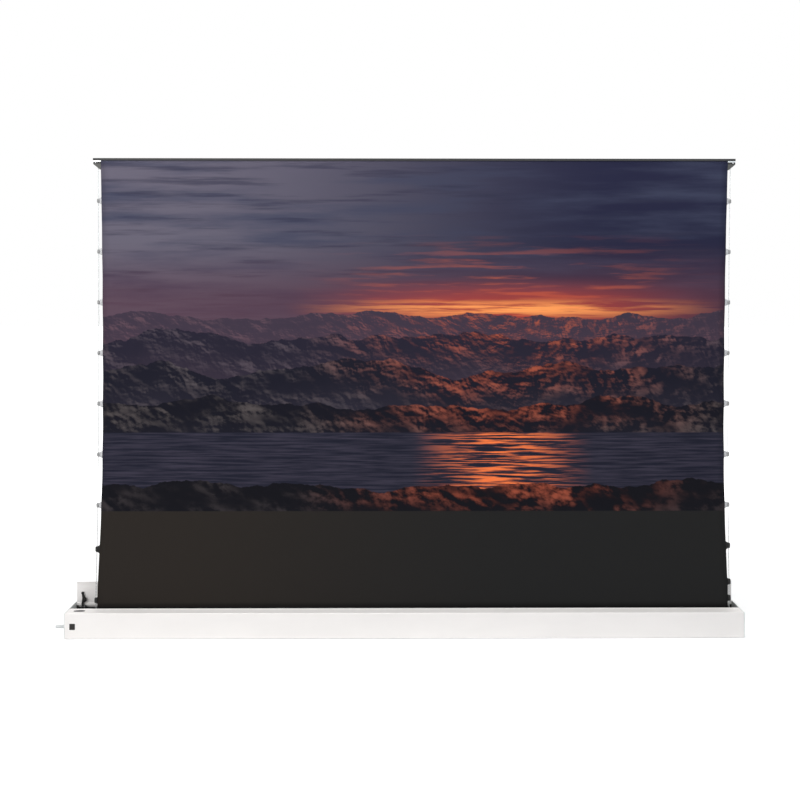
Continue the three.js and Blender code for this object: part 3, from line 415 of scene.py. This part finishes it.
def zinc_plate(name, colour=(0.56, 0.57, 0.58), roughness=0.35, spangles_per_metre=180.0):
    finish, tree, shader = new_finish(name, colour, roughness, metallic=1.0)
    spangle = add_node(tree, "TexVoronoi", {
        "Vector": add_node(tree, "TexCoord").outputs["Object"], "Scale": spangles_per_metre,
    })
    cloud = mottle(tree, (0.012, 0.012, 0.012), detail=3.0)
    shade = reckon(tree, "MULTIPLY_ADD", spangle.outputs["Distance"], 0.3, cloud)
    cloud_colour(tree, shader, colour, between(tree, shade, 0.0, 1.0, 0.3, 0.9), 0.82, 1.12)
    vary_roughness(tree, shader, cloud, roughness - 0.08, roughness + 0.12)
    raise_grain(tree, shader, cloud, 0.00003)
    return finish


drawn_along_x = (0.4, 0.0009, 0.0009)
plated_sheet = zinc_plate("plated_sheet")
dress(plated_sheet, "motor_bracket", "idler_bracket")
motor_black = moulded_plastic(
    "motor_black", (0.022, 0.022, 0.025), 0.45, grain=0.001, depth=0.00003,
)
dress(motor_black, "tubular_motor")
roller_black = moulded_plastic(
    "roller_black", (0.03, 0.03, 0.03), 0.5, grain=0.001, depth=0.00004,
)
dress(roller_black, "drive_wheel", "idler_plug")
bearing_steel = zinc_plate("bearing_steel", (0.6, 0.6, 0.61), 0.22)
dress(bearing_steel, "idler_bearing")
tube_mill = drawn_aluminium("tube_mill", (0.66, 0.67, 0.675), drawn_along_x, roughness=0.4)
dress(tube_mill, "roller_tube")


# Wound cloth: the last turn and a half of the black drop, wound on the roller tube and
# leaving it upwards at the front. It tracks 7 mm to the left of the bar's middle. Cut with
# clean edges from the same coated cloth.
def woven_cloth(name, colour, thread=0.0006):
    finish, tree, shader = new_finish(name, colour, 0.85, specular=0.25)
    place = add_node(tree, "TexCoord").outputs["UV"]
    weave = add_node(tree, "TexBrick", {
        "Vector": place, "Scale": 1.0, "Brick Width": 2 * thread, "Row Height": thread,
        "Mortar Size": 0.2 * thread, "Mortar Smooth": 1.0,
        "Color1": (1, 1, 1, 1), "Color2": (0.8, 0.8, 0.8, 1), "Mortar": (0, 0, 0, 1),
    })
    cloud = mottle(tree, (0.5, 0.5, 0.3), detail=3.0)
    cloud_colour(tree, shader, colour, between(tree, cloud, 0.0, 1.0), 0.92, 1.08)
    raise_grain(tree, shader, weave.outputs["Fac"], 0.00004)
    shader.inputs["Sheen Weight"].default_value = 0.1
    shader.inputs["Sheen Roughness"].default_value = 0.6
    return finish


def new_corners(made):
    return [part for part in made["geom"] if isinstance(part, bmesh.types.BMVert)]


def add_wall(piece, thickness):
    wall = piece.modifiers.new("wall", "SOLIDIFY")
    wall.thickness = thickness
    wall.offset = 0
    return wall


roll_low, roll_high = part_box("fabric_roll")
roller_y = -0.036
roller_z = 0.052
cloth_wall = 0.0008
roll_outside = 0.026
roll_pitch = 0.0017
roll_turns = 1.5
roll_steps = 96
cloth_drift = 0.0069
# painted light: this black is lighter and warmer than the cloth's own, as the drop's lit left side
drop_lit_black = (0.02, 0.016, 0.0132)
drop_cloth = woven_cloth("drop_cloth", drop_lit_black)
roll_shape = bmesh.new()
roll_start = roll_shape.verts.new((roll_low.x - cloth_drift, roller_y + roll_outside, roller_z))
bmesh.ops.spin(
    roll_shape, geom=[roll_start], cent=(0, roller_y, roller_z), axis=(1, 0, 0),
    angle=-2 * math.pi * roll_turns, steps=roll_steps, use_merge=False, use_duplicate=False,
)
roll_shape.verts.ensure_lookup_table()
for step, corner in enumerate(roll_shape.verts):
    reach = 1 - roll_pitch * roll_turns * step / roll_steps / roll_outside
    corner.co.y = roller_y + (corner.co.y - roller_y) * reach
    corner.co.z = roller_z + (corner.co.z - roller_z) * reach
drawn_out = bmesh.ops.extrude_edge_only(roll_shape, edges=roll_shape.edges[:])
bmesh.ops.translate(
    roll_shape, vec=(roll_high.x - roll_low.x, 0, 0), verts=new_corners(drawn_out),
)
roll_map = roll_shape.loops.layers.uv.new("cloth")
for face in roll_shape.faces:
    for loop in face.loops:
        around = math.atan2(loop.vert.co.z - roller_z, loop.vert.co.y - roller_y)
        loop[roll_map].uv = (loop.vert.co.x, around * roll_outside)
wound_cloth = make_piece("wound_cloth", roll_shape, "roller", "drop_fabric", drop_cloth)
add_wall(wound_cloth, cloth_wall)
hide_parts("fabric_roll")


# Lift arms: two drawn aluminium arms a side, satin anodised, turn on zinc-plated steel pins
# with broad heads. A coil spring on each base pin helps the motor lift the bar.
raised_angle = math.radians(26.37456)
drawn_along_arm = (0.0009, 0.0009, 0.4)
satin_silver = (0.68, 0.69, 0.7)
for lean, arms in (
    (raised_angle, ("lower_arm_left", "upper_arm_right")),
    (-raised_angle, ("lower_arm_right", "upper_arm_left")),
):
    arm_silver = drawn_aluminium(
        f"arm_silver_{'in' if lean > 0 else 'out'}", satin_silver, drawn_along_arm, (0, lean, 0),
    )
    dress(arm_silver, *arms)
pin_steel = zinc_plate("pin_steel", (0.62, 0.63, 0.64), 0.25)
bracket_black = moulded_plastic(
    "bracket_black", (0.02, 0.02, 0.021), 0.4, grain=0.0016, depth=0.00004,
)
spring_dark = zinc_plate("spring_dark", (0.12, 0.12, 0.125), 0.3)
for side in ("left", "right"):
    dress(pin_steel, f"base_pin_{side}", f"elbow_pin_{side}", f"top_pin_{side}")
    dress(bracket_black, f"arm_bracket_{side}")
    dress(spring_dark, f"lift_spring_{side}")


# Elbow and bar covers: shallow black caps, turned, snap over the nuts at the back of the
# elbows and of the bar's pins. Each profile gives distances from the pin and along it.
elbow_cover_profile = (
    (0.0, 0.0547), (0.0105, 0.0545), (0.0148, 0.0536), (0.0162, 0.0522), (0.0165, 0.0505),
    (0.0165, 0.0493), (0.0152, 0.0493), (0.0152, 0.0518), (0.0140, 0.0524), (0.0, 0.0526),
)
bar_cover_profile = (
    (0.0, 0.0376), (0.0085, 0.0374), (0.0118, 0.0366), (0.0132, 0.0352), (0.0135, 0.0338),
    (0.0135, 0.0323), (0.0122, 0.0323), (0.0122, 0.0348), (0.0112, 0.0354), (0.0, 0.0356),
)
for name, body, pin, profile in (
    ("elbow_cover_left", "lower_arm_left", "elbow_pin_left", elbow_cover_profile),
    ("elbow_cover_right", "lower_arm_right", "elbow_pin_right", elbow_cover_profile),
    ("bar_pin_cover_left", "top_bar", "top_pin_left", bar_cover_profile),
    ("bar_pin_cover_right", "top_bar", "top_pin_right", bar_cover_profile),
):
    middle = sum(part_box(pin), Vector()) / 2
    cover_shape = bmesh.new()
    turn_profile(
        cover_shape, profile, (middle.x, 0, middle.z), (0, 1, 0), (0, 0, 1), steps=48,
        closed=False,
    )
    make_piece(name, cover_shape, body, "arm_brackets", bracket_black)


# Base screws: two plated cross-head screws on each arm bracket's base plate, outside the
# arm, hold it down on the trough's floor.
slot_black = moulded_plastic("slot_black", (0.01, 0.01, 0.01), 0.7)


def finish_new_faces(shape, earlier, index):
    for face in shape.faces:
        if face not in earlier:
            face.material_index = index


def add_block(shape, size, place):
    corners = bmesh.ops.create_cube(shape, size=1.0)["verts"]
    bmesh.ops.scale(shape, vec=size, verts=corners)
    bmesh.ops.transform(shape, matrix=place, verts=corners)
    return corners


def cross_screw(shape, seat, out, across, radius, height):
    seat, out, across = Vector(seat), Vector(out), Vector(across)
    earlier = set(shape.faces)
    turn_profile(shape, [
        (0.0, 0.0), (radius, 0.0), (radius, 0.45 * height), (0.8 * radius, 0.8 * height),
        (0.45 * radius, height), (0.0, height),
    ], seat, out, across, steps=24, closed=False)
    finish_new_faces(shape, earlier, 0)
    earlier = set(shape.faces)
    cross_size = (radius, 0.2 * radius, 0.1 * height)
    cross_middle = Matrix.Translation(seat + out * 0.98 * height)
    for long_way, short_way in ((across, out.cross(across)), (out.cross(across), across)):
        turned = Matrix((long_way, short_way, out)).transposed().to_4x4()
        add_block(shape, cross_size, cross_middle @ turned)
    finish_new_faces(shape, earlier, 1)


base_plate_wall = 0.003
base_screw_inset = 0.008
base_screw_y = 0.049
for side in ("left", "right"):
    plate_low, plate_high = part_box(f"arm_bracket_{side}")
    screws_shape = bmesh.new()
    for x in (plate_low.x + base_screw_inset, plate_high.x - base_screw_inset):
        cross_screw(
            screws_shape, (x, base_screw_y, plate_low.z + base_plate_wall),
            (0, 0, 1), (1, 0, 0), radius=0.0045, height=0.0024,
        )
    make_piece(f"base_screws_{side}", screws_shape, "case", "pins", pin_steel, slot_black)


# Top bar: a drawn aluminium box section under a matt black strip that folds down over the
# cloth's top edge, closed at both ends by thin aluminium plates.
bar_silver = drawn_aluminium("bar_silver", (0.6, 0.605, 0.59), drawn_along_x, roughness=0.38)
dress(bar_silver, "top_bar", "bar_end_cap_left", "bar_end_cap_right")
strip_black = moulded_plastic(
    "strip_black", (0.012, 0.012, 0.012), 0.6, grain=0.001, depth=0.00003,
)
dress(strip_black, "bar_top_strip")


# Cord brackets: grey wedge-shaped mouldings screwed under the bar's ends, which the tension
# cords run up into.
bracket_grey = moulded_plastic("bracket_grey", (0.06, 0.06, 0.054), 0.5)
dress(bracket_grey, "cord_bracket_left", "cord_bracket_right")


# Bar clips: a thin black plate on the front of the bar at each end holds the cord bracket
# under it, with one cross-head screw. Two more hold each end plate.
def round_edges(shape, edges, offset):
    bmesh.ops.bevel(
        shape, geom=edges, offset=offset, offset_type="OFFSET", segments=2, profile=0.5,
        affect="EDGES", material=-1,
    )


def edges_between(shape, corners):
    return [edge for edge in shape.edges if all(corner in corners for corner in edge.verts)]


clip_size = (0.033, 0.0010, 0.0068)
clip_y, clip_face_y, clip_z = -0.0098, -0.0103, 2.0162
clip_outward = 0.0012
clip_screw_outward = 0.008
end_screw_z = 2.02
end_screws_y = (-0.0035, 0.0095)
small_screw = {"radius": 0.0026, "height": 0.0011}
for side, outward in (("left", -1), ("right", 1)):
    bracket_middle = sum(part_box(f"cord_bracket_{side}"), Vector()) / 2
    clip_shape = bmesh.new()
    clip_x = bracket_middle.x + outward * clip_outward
    plate = add_block(clip_shape, clip_size, Matrix.Translation((clip_x, clip_y, clip_z)))
    round_edges(clip_shape, edges_between(clip_shape, plate), 0.0003)
    finish_new_faces(clip_shape, set(), 2)
    screw_x = bracket_middle.x + outward * clip_screw_outward
    cross_screw(clip_shape, (screw_x, clip_face_y, clip_z), (0, -1, 0), (1, 0, 0), **small_screw)
    end_low, end_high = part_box(f"bar_end_cap_{side}")
    end_face = end_low.x if side == "left" else end_high.x
    for y in end_screws_y:
        cross_screw(
            clip_shape, (end_face, y, end_screw_z), (outward, 0, 0), (0, 1, 0), **small_screw,
        )
    make_piece(
        f"bar_clip_{side}", clip_shape, "top_bar", "cord_brackets",
        pin_steel, slot_black, strip_black,
    )


# Screen: one sheet of coated cloth with a long plain black drop and a black back. It is
# clamped under the strip, drawn to a slight waist by its side cords, and leaves the case
# from the front of the roller. Its picture, a plain dusk landscape, runs to both edges.
bar_low, bar_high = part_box("bar_top_strip")
screen_middle = (bar_low.x + bar_high.x) / 2
bar_half = (bar_high.x - bar_low.x) / 2
screen_low, screen_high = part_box("screen_fabric")
screen_y = (screen_low.y + screen_high.y) / 2
screen_top = screen_high.z
screen_foot = screen_low.z
waist_z = 0.914
drawn_in_below_z = 0.2
tab_pitch = 0.2172
tab_top_z = 1.8525


def drawn_in(z, top_inset, waist_inset, foot_inset):
    if z >= waist_z:
        share = ((z - waist_z) / (screen_top - waist_z)) ** 2
        return bar_half - waist_inset - (top_inset - waist_inset) * share
    share = min((waist_z - z) / (waist_z - drawn_in_below_z), 1) ** 2
    return bar_half - waist_inset - (foot_inset - waist_inset) * share


def cloth_half(z):
    return drawn_in(z, top_inset=0.0325, waist_inset=0.0455, foot_inset=0.026)


def cloth_middle(z):
    return screen_middle - cloth_drift * (screen_top - z) / (screen_top - screen_foot)


picture_half = 1.335
scallop, ruffle = 0.0012, 0.0004
cloth_shape = bmesh.new()
bmesh.ops.create_grid(cloth_shape, x_segments=80, y_segments=180, size=0.5)
cloth_map = cloth_shape.loops.layers.uv.new("cloth")
for corner in cloth_shape.verts:
    across, up = 2 * corner.co.x, corner.co.y + 0.5
    z = screen_foot + (screen_top - screen_foot) * up
    calm = math.sin(math.pi * min(up, 1.0)) * abs(across) ** 6
    ripple = 0.5 - 0.5 * math.cos(2 * math.pi * (tab_top_z - z) / tab_pitch)
    half = cloth_half(z) - scallop * ripple * calm
    corner.co = Vector((
        cloth_middle(z) + across * half,
        screen_y + ruffle * calm * math.sin(2 * math.pi * z / tab_pitch),
        z,
    ))
for face in cloth_shape.faces:
    for loop in face.loops:
        place = loop.vert.co
        share = (place.x - cloth_middle(place.z)) / cloth_half(place.z)
        loop[cloth_map].uv = (share * picture_half, place.z)

picture_foot = 0.5237
screen_cloth, screen_tree, screen_shader = new_finish(
    "screen_cloth", (0.1, 0.1, 0.12), 0.85, specular=0.15,
)
cloth_place = add_node(screen_tree, "SeparateXYZ", {
    "Vector": add_node(screen_tree, "TexCoord").outputs["UV"],
}).outputs
across, up = cloth_place["X"], cloth_place["Y"]


def fade(tree, value, start, end):
    return between(tree, value, 0.0, 1.0, start, end, interpolation_type="SMOOTHSTEP")


def fading(value, start, end):
    return fade(screen_tree, value, start, end)


def scaled(value, share):
    return reckon(screen_tree, "MULTIPLY", value, share)


def less(value, amount):
    return reckon(screen_tree, "SUBTRACT", value, amount)


def gap_from(value, middle):
    return reckon(screen_tree, "ABSOLUTE", less(value, middle))


def drift(across, up, cell_across, cell_up, seed, detail=4.0, roughness=0.55):
    vector = add_node(screen_tree, "CombineXYZ", {
        "X": reckon(screen_tree, "DIVIDE", across, cell_across),
        "Y": reckon(screen_tree, "DIVIDE", up, cell_up),
        "Z": seed,
    })
    return add_node(screen_tree, "TexNoise", {
        "Vector": vector.outputs[0], "Scale": 1.0, "Detail": detail, "Roughness": roughness,
    }).outputs["Fac"]


def paint(under, share, over):
    return mix_colours(screen_tree, share, under, over)


# Sky: pale grey violet at the left to dark navy at the right, under long thin clouds
pale_violet, dark_navy = (0.12, 0.109, 0.147), (0.014, 0.015, 0.041)
veil_blue, wisp_navy, dusk_plum = (0.04, 0.046, 0.084), (0.02, 0.021, 0.046), (0.086, 0.035, 0.056)
picture = paint(pale_violet, fading(across, -1.25, 0.9), dark_navy)
veil = drift(across, up, 0.9, 0.1, 3.1, 6.0)
picture = paint(picture, fading(veil, 0.42, 0.72), veil_blue)
wisps = drift(across, up, 0.5, 0.03, 8.7, 7.0)
picture = paint(picture, scaled(fading(wisps, 0.5, 0.7), 0.6), wisp_navy)
picture = paint(picture, scaled(fading(up, 1.7, 1.4), 0.7), dusk_plum)

# Afterglow: a band of orange and red along the horizon, broken by cloud, with the undersides
# of the clouds above it lit
glow_across, glow_up = 0.42, 1.39
lit_cloud_red, ember_red, hot_orange = (0.5, 0.11, 0.055), (0.45, 0.055, 0.035), (1.0, 0.35, 0.1)
glow_side = fading(gap_from(across, glow_across), 1.0, 0.05)
glow_rise = gap_from(up, glow_up)
lit_cloud = fading(drift(across, up, 0.42, 0.03, 21.9, 7.0), 0.5, 0.66)
above_glow = scaled(fading(glow_rise, 0.36, 0.04), glow_side)
picture = paint(picture, scaled(scaled(above_glow, lit_cloud), 0.75), lit_cloud_red)
broken = fading(drift(across, up, 0.35, 0.018, 15.3, 6.0), 0.62, 0.42)
ember = scaled(fading(glow_rise, 0.15, 0.0), glow_side)
picture = paint(picture, scaled(ember, 0.8), ember_red)
hot = scaled(fading(glow_rise, 0.055, 0.0), glow_side)
picture = paint(picture, scaled(hot, broken), hot_orange)

# Hills and lake: each ridge is darker than the one behind it, with mist at its foot and its
# crags lit from the side of the glow, and the lake before the last one mirrors the glow
lake_level = 0.86


def crag(across, up, cell, seed):
    return drift(across, up, cell, 0.8 * cell, seed, detail=7.0, roughness=0.58)


def lake_over(picture):
    ripples = drift(across, up, 0.22, 0.009, 71.0, 5.0)
    water = paint((0.009, 0.01, 0.021), fading(ripples, 0.35, 0.7), (0.038, 0.034, 0.055))
    glint_side = fading(gap_from(across, glow_across - 0.04), 0.4, 0.02)
    glint = scaled(fading(ripples, 0.47, 0.6), glint_side)
    water = paint(water, glint, (0.95, 0.2, 0.055))
    shore = fading(up, lake_level + 0.0015, lake_level - 0.0015)
    return paint(picture, shore, water)


glow_lit_rock = (0.42, 0.085, 0.04)
towards_glow = between(screen_tree, across, 1.0, -1.0, glow_across - 0.3, glow_across + 0.3)
ridges = (
    (
        1.36, 0.11, 0.5, 0.09, 11.0,
        (0.042, 0.03, 0.05), (0.1, 0.058, 0.078), (0.1, 0.05, 0.07),
    ),
    (
        1.27, 0.14, 0.4, 0.13, 27.0,
        (0.014, 0.012, 0.025), (0.075, 0.058, 0.075), (0.05, 0.034, 0.053),
    ),
    (
        1.14, 0.16, 0.5, 0.17, 43.0,
        (0.006, 0.006, 0.014), (0.075, 0.062, 0.07), (0.028, 0.024, 0.04),
    ),
    (
        0.98, 0.16, 0.6, 0.22, 61.0,
        (0.003, 0.003, 0.008), (0.08, 0.067, 0.068), (0.016, 0.016, 0.028),
    ),
    (
        0.63, 0.19, 0.7, 0.3, 83.0,
        (0.0015, 0.0015, 0.004), (0.04, 0.033, 0.036), (0.004, 0.004, 0.008),
    ),
)
for crest, rise, hump, stone, seed, rock, lit_rock, mist in ridges:
    if crest < lake_level:
        picture = lake_over(picture)
    line = drift(across, 0.0, hump, 1.0, seed, 8.0)
    top = reckon(screen_tree, "MULTIPLY_ADD", less(line, 0.5), 2 * rise, crest)
    depth = less(top, up)
    slanted = reckon(screen_tree, "MULTIPLY_ADD", up, 0.5, across)
    beside = reckon(screen_tree, "MULTIPLY_ADD", towards_glow, 0.06 * stone, slanted)
    above = reckon(screen_tree, "ADD", up, 0.05 * stone)
    lit_side = crag(beside, above, stone, seed + 5)
    facing = less(crag(slanted, up, stone, seed + 5), lit_side)
    shade = fading(drift(slanted, up, stone, 0.6 * stone, seed + 9, 3.0), 0.36, 0.62)
    light = scaled(fading(facing, -0.03, 0.075), shade)
    warm = scaled(fading(depth, 0.2, 0.0), glow_side)
    lit_colour = paint(lit_rock, scaled(warm, 0.85), glow_lit_rock)
    slope = paint(rock, light, lit_colour)
    slope = paint(slope, scaled(fading(depth, 0.03, 0.26), 0.55), mist)
    picture = paint(picture, fading(depth, -0.0015, 0.0025), slope)

# Drop: plain black cloth runs down from the picture to the roller. Its colour is painted
# lighter and warmer at the left as painted light, and blackest at its foot, where it stands
# in the case, as painted shade
drop_right_shaded_black, drop_foot_painted_shade = (0.0122, 0.0122, 0.0122), (0.001, 0.001, 0.001)
case_mouth_z, clear_of_case_z = 0.106, 0.139
clear_of_foot_shade = fading(up, case_mouth_z, clear_of_case_z)
drop_shade = paint(drop_lit_black, fading(across, -1.2, 0.6), drop_right_shaded_black)
drop_shade = paint(drop_foot_painted_shade, clear_of_foot_shade, drop_shade)
in_drop = reckon(screen_tree, "LESS_THAN", up, picture_foot)
screen_tree.links.new(
    paint(picture, in_drop, drop_shade), screen_shader.inputs["Base Color"],
)
rib_pitch, rib_depth = 0.0008, 0.00003
rib = reckon(screen_tree, "SINE", scaled(up, 2 * math.pi / rib_pitch))
raise_grain(screen_tree, screen_shader, rib, rib_depth)

screen_cloth_back = woven_cloth("screen_cloth_back", (0.022, 0.021, 0.021))
screen_sheet = make_piece(
    "screen_sheet", cloth_shape, "top_bar", "screen_fabric", screen_cloth, screen_cloth_back,
)
screen_wall = add_wall(screen_sheet, cloth_wall)
screen_wall.material_offset = 1
screen_wall.material_offset_rim = 1
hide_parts("screen_fabric")
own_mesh(screen_sheet)


# Tension cords: a clear nylon cord down each side from the bar to the roller, its colour
# painted darker towards the case as painted shade. It is threaded through moulded beads, each
# held by a thin web that is welded to the cloth's edge. They are grey with a paler web beside
# the picture, black beside the drop.
cord_clear, cord_tree, cord_shader = new_finish("cord_clear", (0.8, 0.83, 0.83), 0.22)
vary_roughness(cord_tree, cord_shader, mottle(cord_tree, (0.002, 0.002, 0.006)), 0.15, 0.35)
# painted shade: the cord's colour darkens from the top towards the case
unshaded_nylon, shaded_nylon = (0.82, 0.85, 0.85), (0.6, 0.615, 0.61)
unshaded_share = fade(cord_tree, object_axis(cord_tree, "Z"), 0.5, 1.8)
cord_tree.links.new(
    mix_colours(cord_tree, unshaded_share, shaded_nylon, unshaded_nylon),
    cord_shader.inputs["Base Color"],
)
cord_shader.inputs["Transmission Weight"].default_value = 0.45
cord_shader.inputs["IOR"].default_value = 1.53
tab_grey = moulded_plastic("tab_grey", (0.27, 0.27, 0.27), 0.4)
web_grey = moulded_plastic("web_grey", (0.51, 0.51, 0.52), 0.4)
tab_black = moulded_plastic("tab_black", (0.012, 0.012, 0.012), 0.5, specular=0.25)

cord_y = -0.0065
cord_radius = 0.0016
cord_high_z, cord_foot_z = 2.0007, 0.056
cord_rings = 60
lean_height, lean_depth = 0.07, 0.0051
high_tabs = [tab_top_z - tab_pitch * count for count in range(7)]
low_tabs = {"left": [0.361, 0.142], "right": [0.374, 0.219, 0.149]}
grey_bead, grey_web_height = Vector((0.0061, 0, 0.0088)), 0.038
black_bead, black_web_height = Vector((0.0068, 0, 0.0115)), 0.046
bead_bore = cord_radius + 0.0003
web_wall, web_outer_share = 0.0016, 0.55
web_past_edge, web_in_bead = 0.009, 0.003
web_y = cord_y - 0.0012
folded_tabs_z = 0.064


def cord_place(outward, z):
    in_case = max(0.0, (cord_foot_z + lean_height - z) / lean_height)
    lean = in_case * in_case * (3 - 2 * in_case)
    cord_half = drawn_in(z, top_inset=0.021, waist_inset=0.027, foot_inset=0.019)
    return Vector((cloth_middle(z) + outward * cord_half, cord_y - lean_depth * lean, z))


for outward, side in ((-1, "left"), (1, "right")):
    cord_shape = bmesh.new()
    last = cord_place(outward, cord_foot_z)
    bmesh.ops.create_circle(
        cord_shape, cap_ends=True, segments=12, radius=cord_radius,
        matrix=Matrix.Translation(last),
    )
    ring = cord_shape.edges[:]
    for step in range(1, cord_rings + 1):
        here = cord_place(outward, cord_foot_z + (cord_high_z - cord_foot_z) * step / cord_rings)
        grown = bmesh.ops.extrude_edge_only(cord_shape, edges=ring)
        bmesh.ops.translate(cord_shape, vec=here - last, verts=new_corners(grown))
        ring = [part for part in grown["geom"] if isinstance(part, bmesh.types.BMEdge)]
        last = here
    bmesh.ops.contextual_create(cord_shape, geom=ring)
    cord = make_piece(f"side_cord_{side}", cord_shape, "top_bar", "tension_cord", cord_clear)
    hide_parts(f"tension_cord_{side}")

    tabs_shape = bmesh.new()
    for z in high_tabs + low_tabs[side]:
        place = cord_place(outward, z)
        black = z < picture_foot
        bead = black_bead if black else grey_bead
        web_height = black_web_height if black else grey_web_height
        earlier = set(tabs_shape.faces)
        turn_profile(tabs_shape, [
            (bead_bore, -bead.z), (0.6 * bead.x, -bead.z), (0.84 * bead.x, -0.87 * bead.z),
            (0.97 * bead.x, -0.62 * bead.z), (bead.x, 0.0), (0.97 * bead.x, 0.62 * bead.z),
            (0.84 * bead.x, 0.87 * bead.z), (0.6 * bead.x, bead.z), (bead_bore, bead.z),
        ], place, (0, 0, 1), (1, 0, 0), steps=20)
        finish_new_faces(tabs_shape, earlier, 2 if black else 0)
        earlier = set(tabs_shape.faces)
        edge_x = cloth_middle(z) + outward * (cloth_half(z) - web_past_edge)
        outer_x = place.x - outward * web_in_bead
        web = add_block(
            tabs_shape, (abs(outer_x - edge_x), web_wall, web_height),
            Matrix.Translation(((edge_x + outer_x) / 2, web_y, z)),
        )
        for corner in web:
            if abs(corner.co.x - edge_x) > abs(outer_x - edge_x) / 2:
                corner.co.z = z + (corner.co.z - z) * web_outer_share
        round_edges(tabs_shape, edges_between(tabs_shape, web), 0.0005)
        finish_new_faces(tabs_shape, earlier, 2 if black else 1)
    tabs = make_piece(
        f"cord_tabs_{side}", tabs_shape, "top_bar", "tension_cord",
        tab_grey, web_grey, tab_black,
    )
    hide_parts(f"tension_cord_{side}")
    for piece, folded_low_z in ((cord, cord_foot_z), (tabs, folded_tabs_z)):
        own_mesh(piece)


# Lid: a folded white panel that stands behind the screen while it is up. Powder coated as
# the case, it turns on the bead along its foot. Its white is painted lighter than the case's,
# as painted light where it stands in shade behind the screen.
lid_painted_light_white = powder_coat("lid_painted_light_white", (0.95, 0.92, 0.9))
dress(lid_painted_light_white, "lid_panel")


# Lid levers: cranked black mouldings that push the lid open as the bar rises, with a round
# boss at the elbow and a roller at the tip. Each turns on the pin of a bracket of dark
# passivated steel that is screwed to the rear wall.
lever_black = moulded_plastic("lever_black", (0.008, 0.0072, 0.007), 0.5, specular=0.2)
lever_plate = zinc_plate("lever_plate", (0.09, 0.09, 0.093), 0.45)
dress(lever_plate, "lever_bracket_left", "lever_bracket_right")
lever_pivot_y, lever_pivot_z = 0.06, 0.092
lever_lean = math.radians(8.7)
lever_elbow_x, lever_elbow_z = 0.0063, 0.03
lever_tip_x, lever_tip_z = -0.004, 0.0585
lever_wall, lever_corner = 0.005, 0.0014
lever_outline = (
    (-0.0048, 0.0036), (0.0046, 0.0036), (0.0046, 0.0068), (0.0018, 0.0095), (0.0018, 0.019),
    (0.008, 0.0212), (0.014, 0.025), (0.0149, 0.031), (0.0125, 0.0368), (0.0065, 0.042),
    (0.0, 0.0585), (-0.0078, 0.0585), (-0.0045, 0.038), (-0.0068, 0.018), (-0.0068, 0.0098),
    (-0.0048, 0.0074),
)
boss_profile = (
    (0.0, -0.0034), (0.0052, -0.0034), (0.006, -0.003), (0.006, 0.003), (0.0052, 0.0034),
    (0.0, 0.0034),
)
tip_profile = (
    (0.0, -0.005), (0.0042, -0.005), (0.005, -0.0042), (0.005, 0.0042), (0.0042, 0.005),
    (0.0, 0.005),
)
hub_profile = (
    (0.0028, -0.005), (0.0054, -0.005), (0.006, -0.0044), (0.006, 0.0044), (0.0054, 0.005),
    (0.0028, 0.005),
)
for side, inward in (("left", 1), ("right", -1)):
    lever_shape = bmesh.new()
    rim = [
        lever_shape.verts.new((inward * x, -lever_wall / 2, z)) for x, z in lever_outline
    ]
    lever_shape.faces.new(rim)
    bmesh.ops.bevel(
        lever_shape, geom=rim, offset=lever_corner, offset_type="OFFSET", segments=3,
        profile=0.5, affect="VERTICES", material=-1,
    )
    thickened = bmesh.ops.extrude_face_region(lever_shape, geom=lever_shape.faces[:])
    bmesh.ops.translate(lever_shape, vec=(0, lever_wall, 0), verts=new_corners(thickened))
    rim_edges = [
        edge for edge in lever_shape.edges
        if abs(edge.verts[0].co.y - edge.verts[1].co.y) < lever_wall / 2
    ]
    round_edges(lever_shape, rim_edges, 0.0005)
    elbow = (inward * lever_elbow_x, 0, lever_elbow_z)
    tip = (inward * lever_tip_x, 0, lever_tip_z)
    turn_profile(lever_shape, boss_profile, elbow, (0, 1, 0), (0, 0, 1), 32, closed=False)
    turn_profile(lever_shape, tip_profile, tip, (1, 0, 0), (0, 0, 1), 32, closed=False)
    turn_profile(lever_shape, hub_profile, (0, 0, 0), (1, 0, 0), (0, 0, 1), 32)
    bracket_middle = sum(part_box(f"lever_bracket_{side}"), Vector()) / 2
    stand = Matrix.Translation((bracket_middle.x, lever_pivot_y, lever_pivot_z))
    bmesh.ops.transform(
        lever_shape, matrix=stand @ Matrix.Rotation(-lever_lean, 4, "X"), verts=lever_shape.verts,
    )
    lever = make_piece(f"lever_{side}", lever_shape, f"lid_lever_{side}", "lid_lever", lever_black)
    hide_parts(f"lid_lever_{side}")
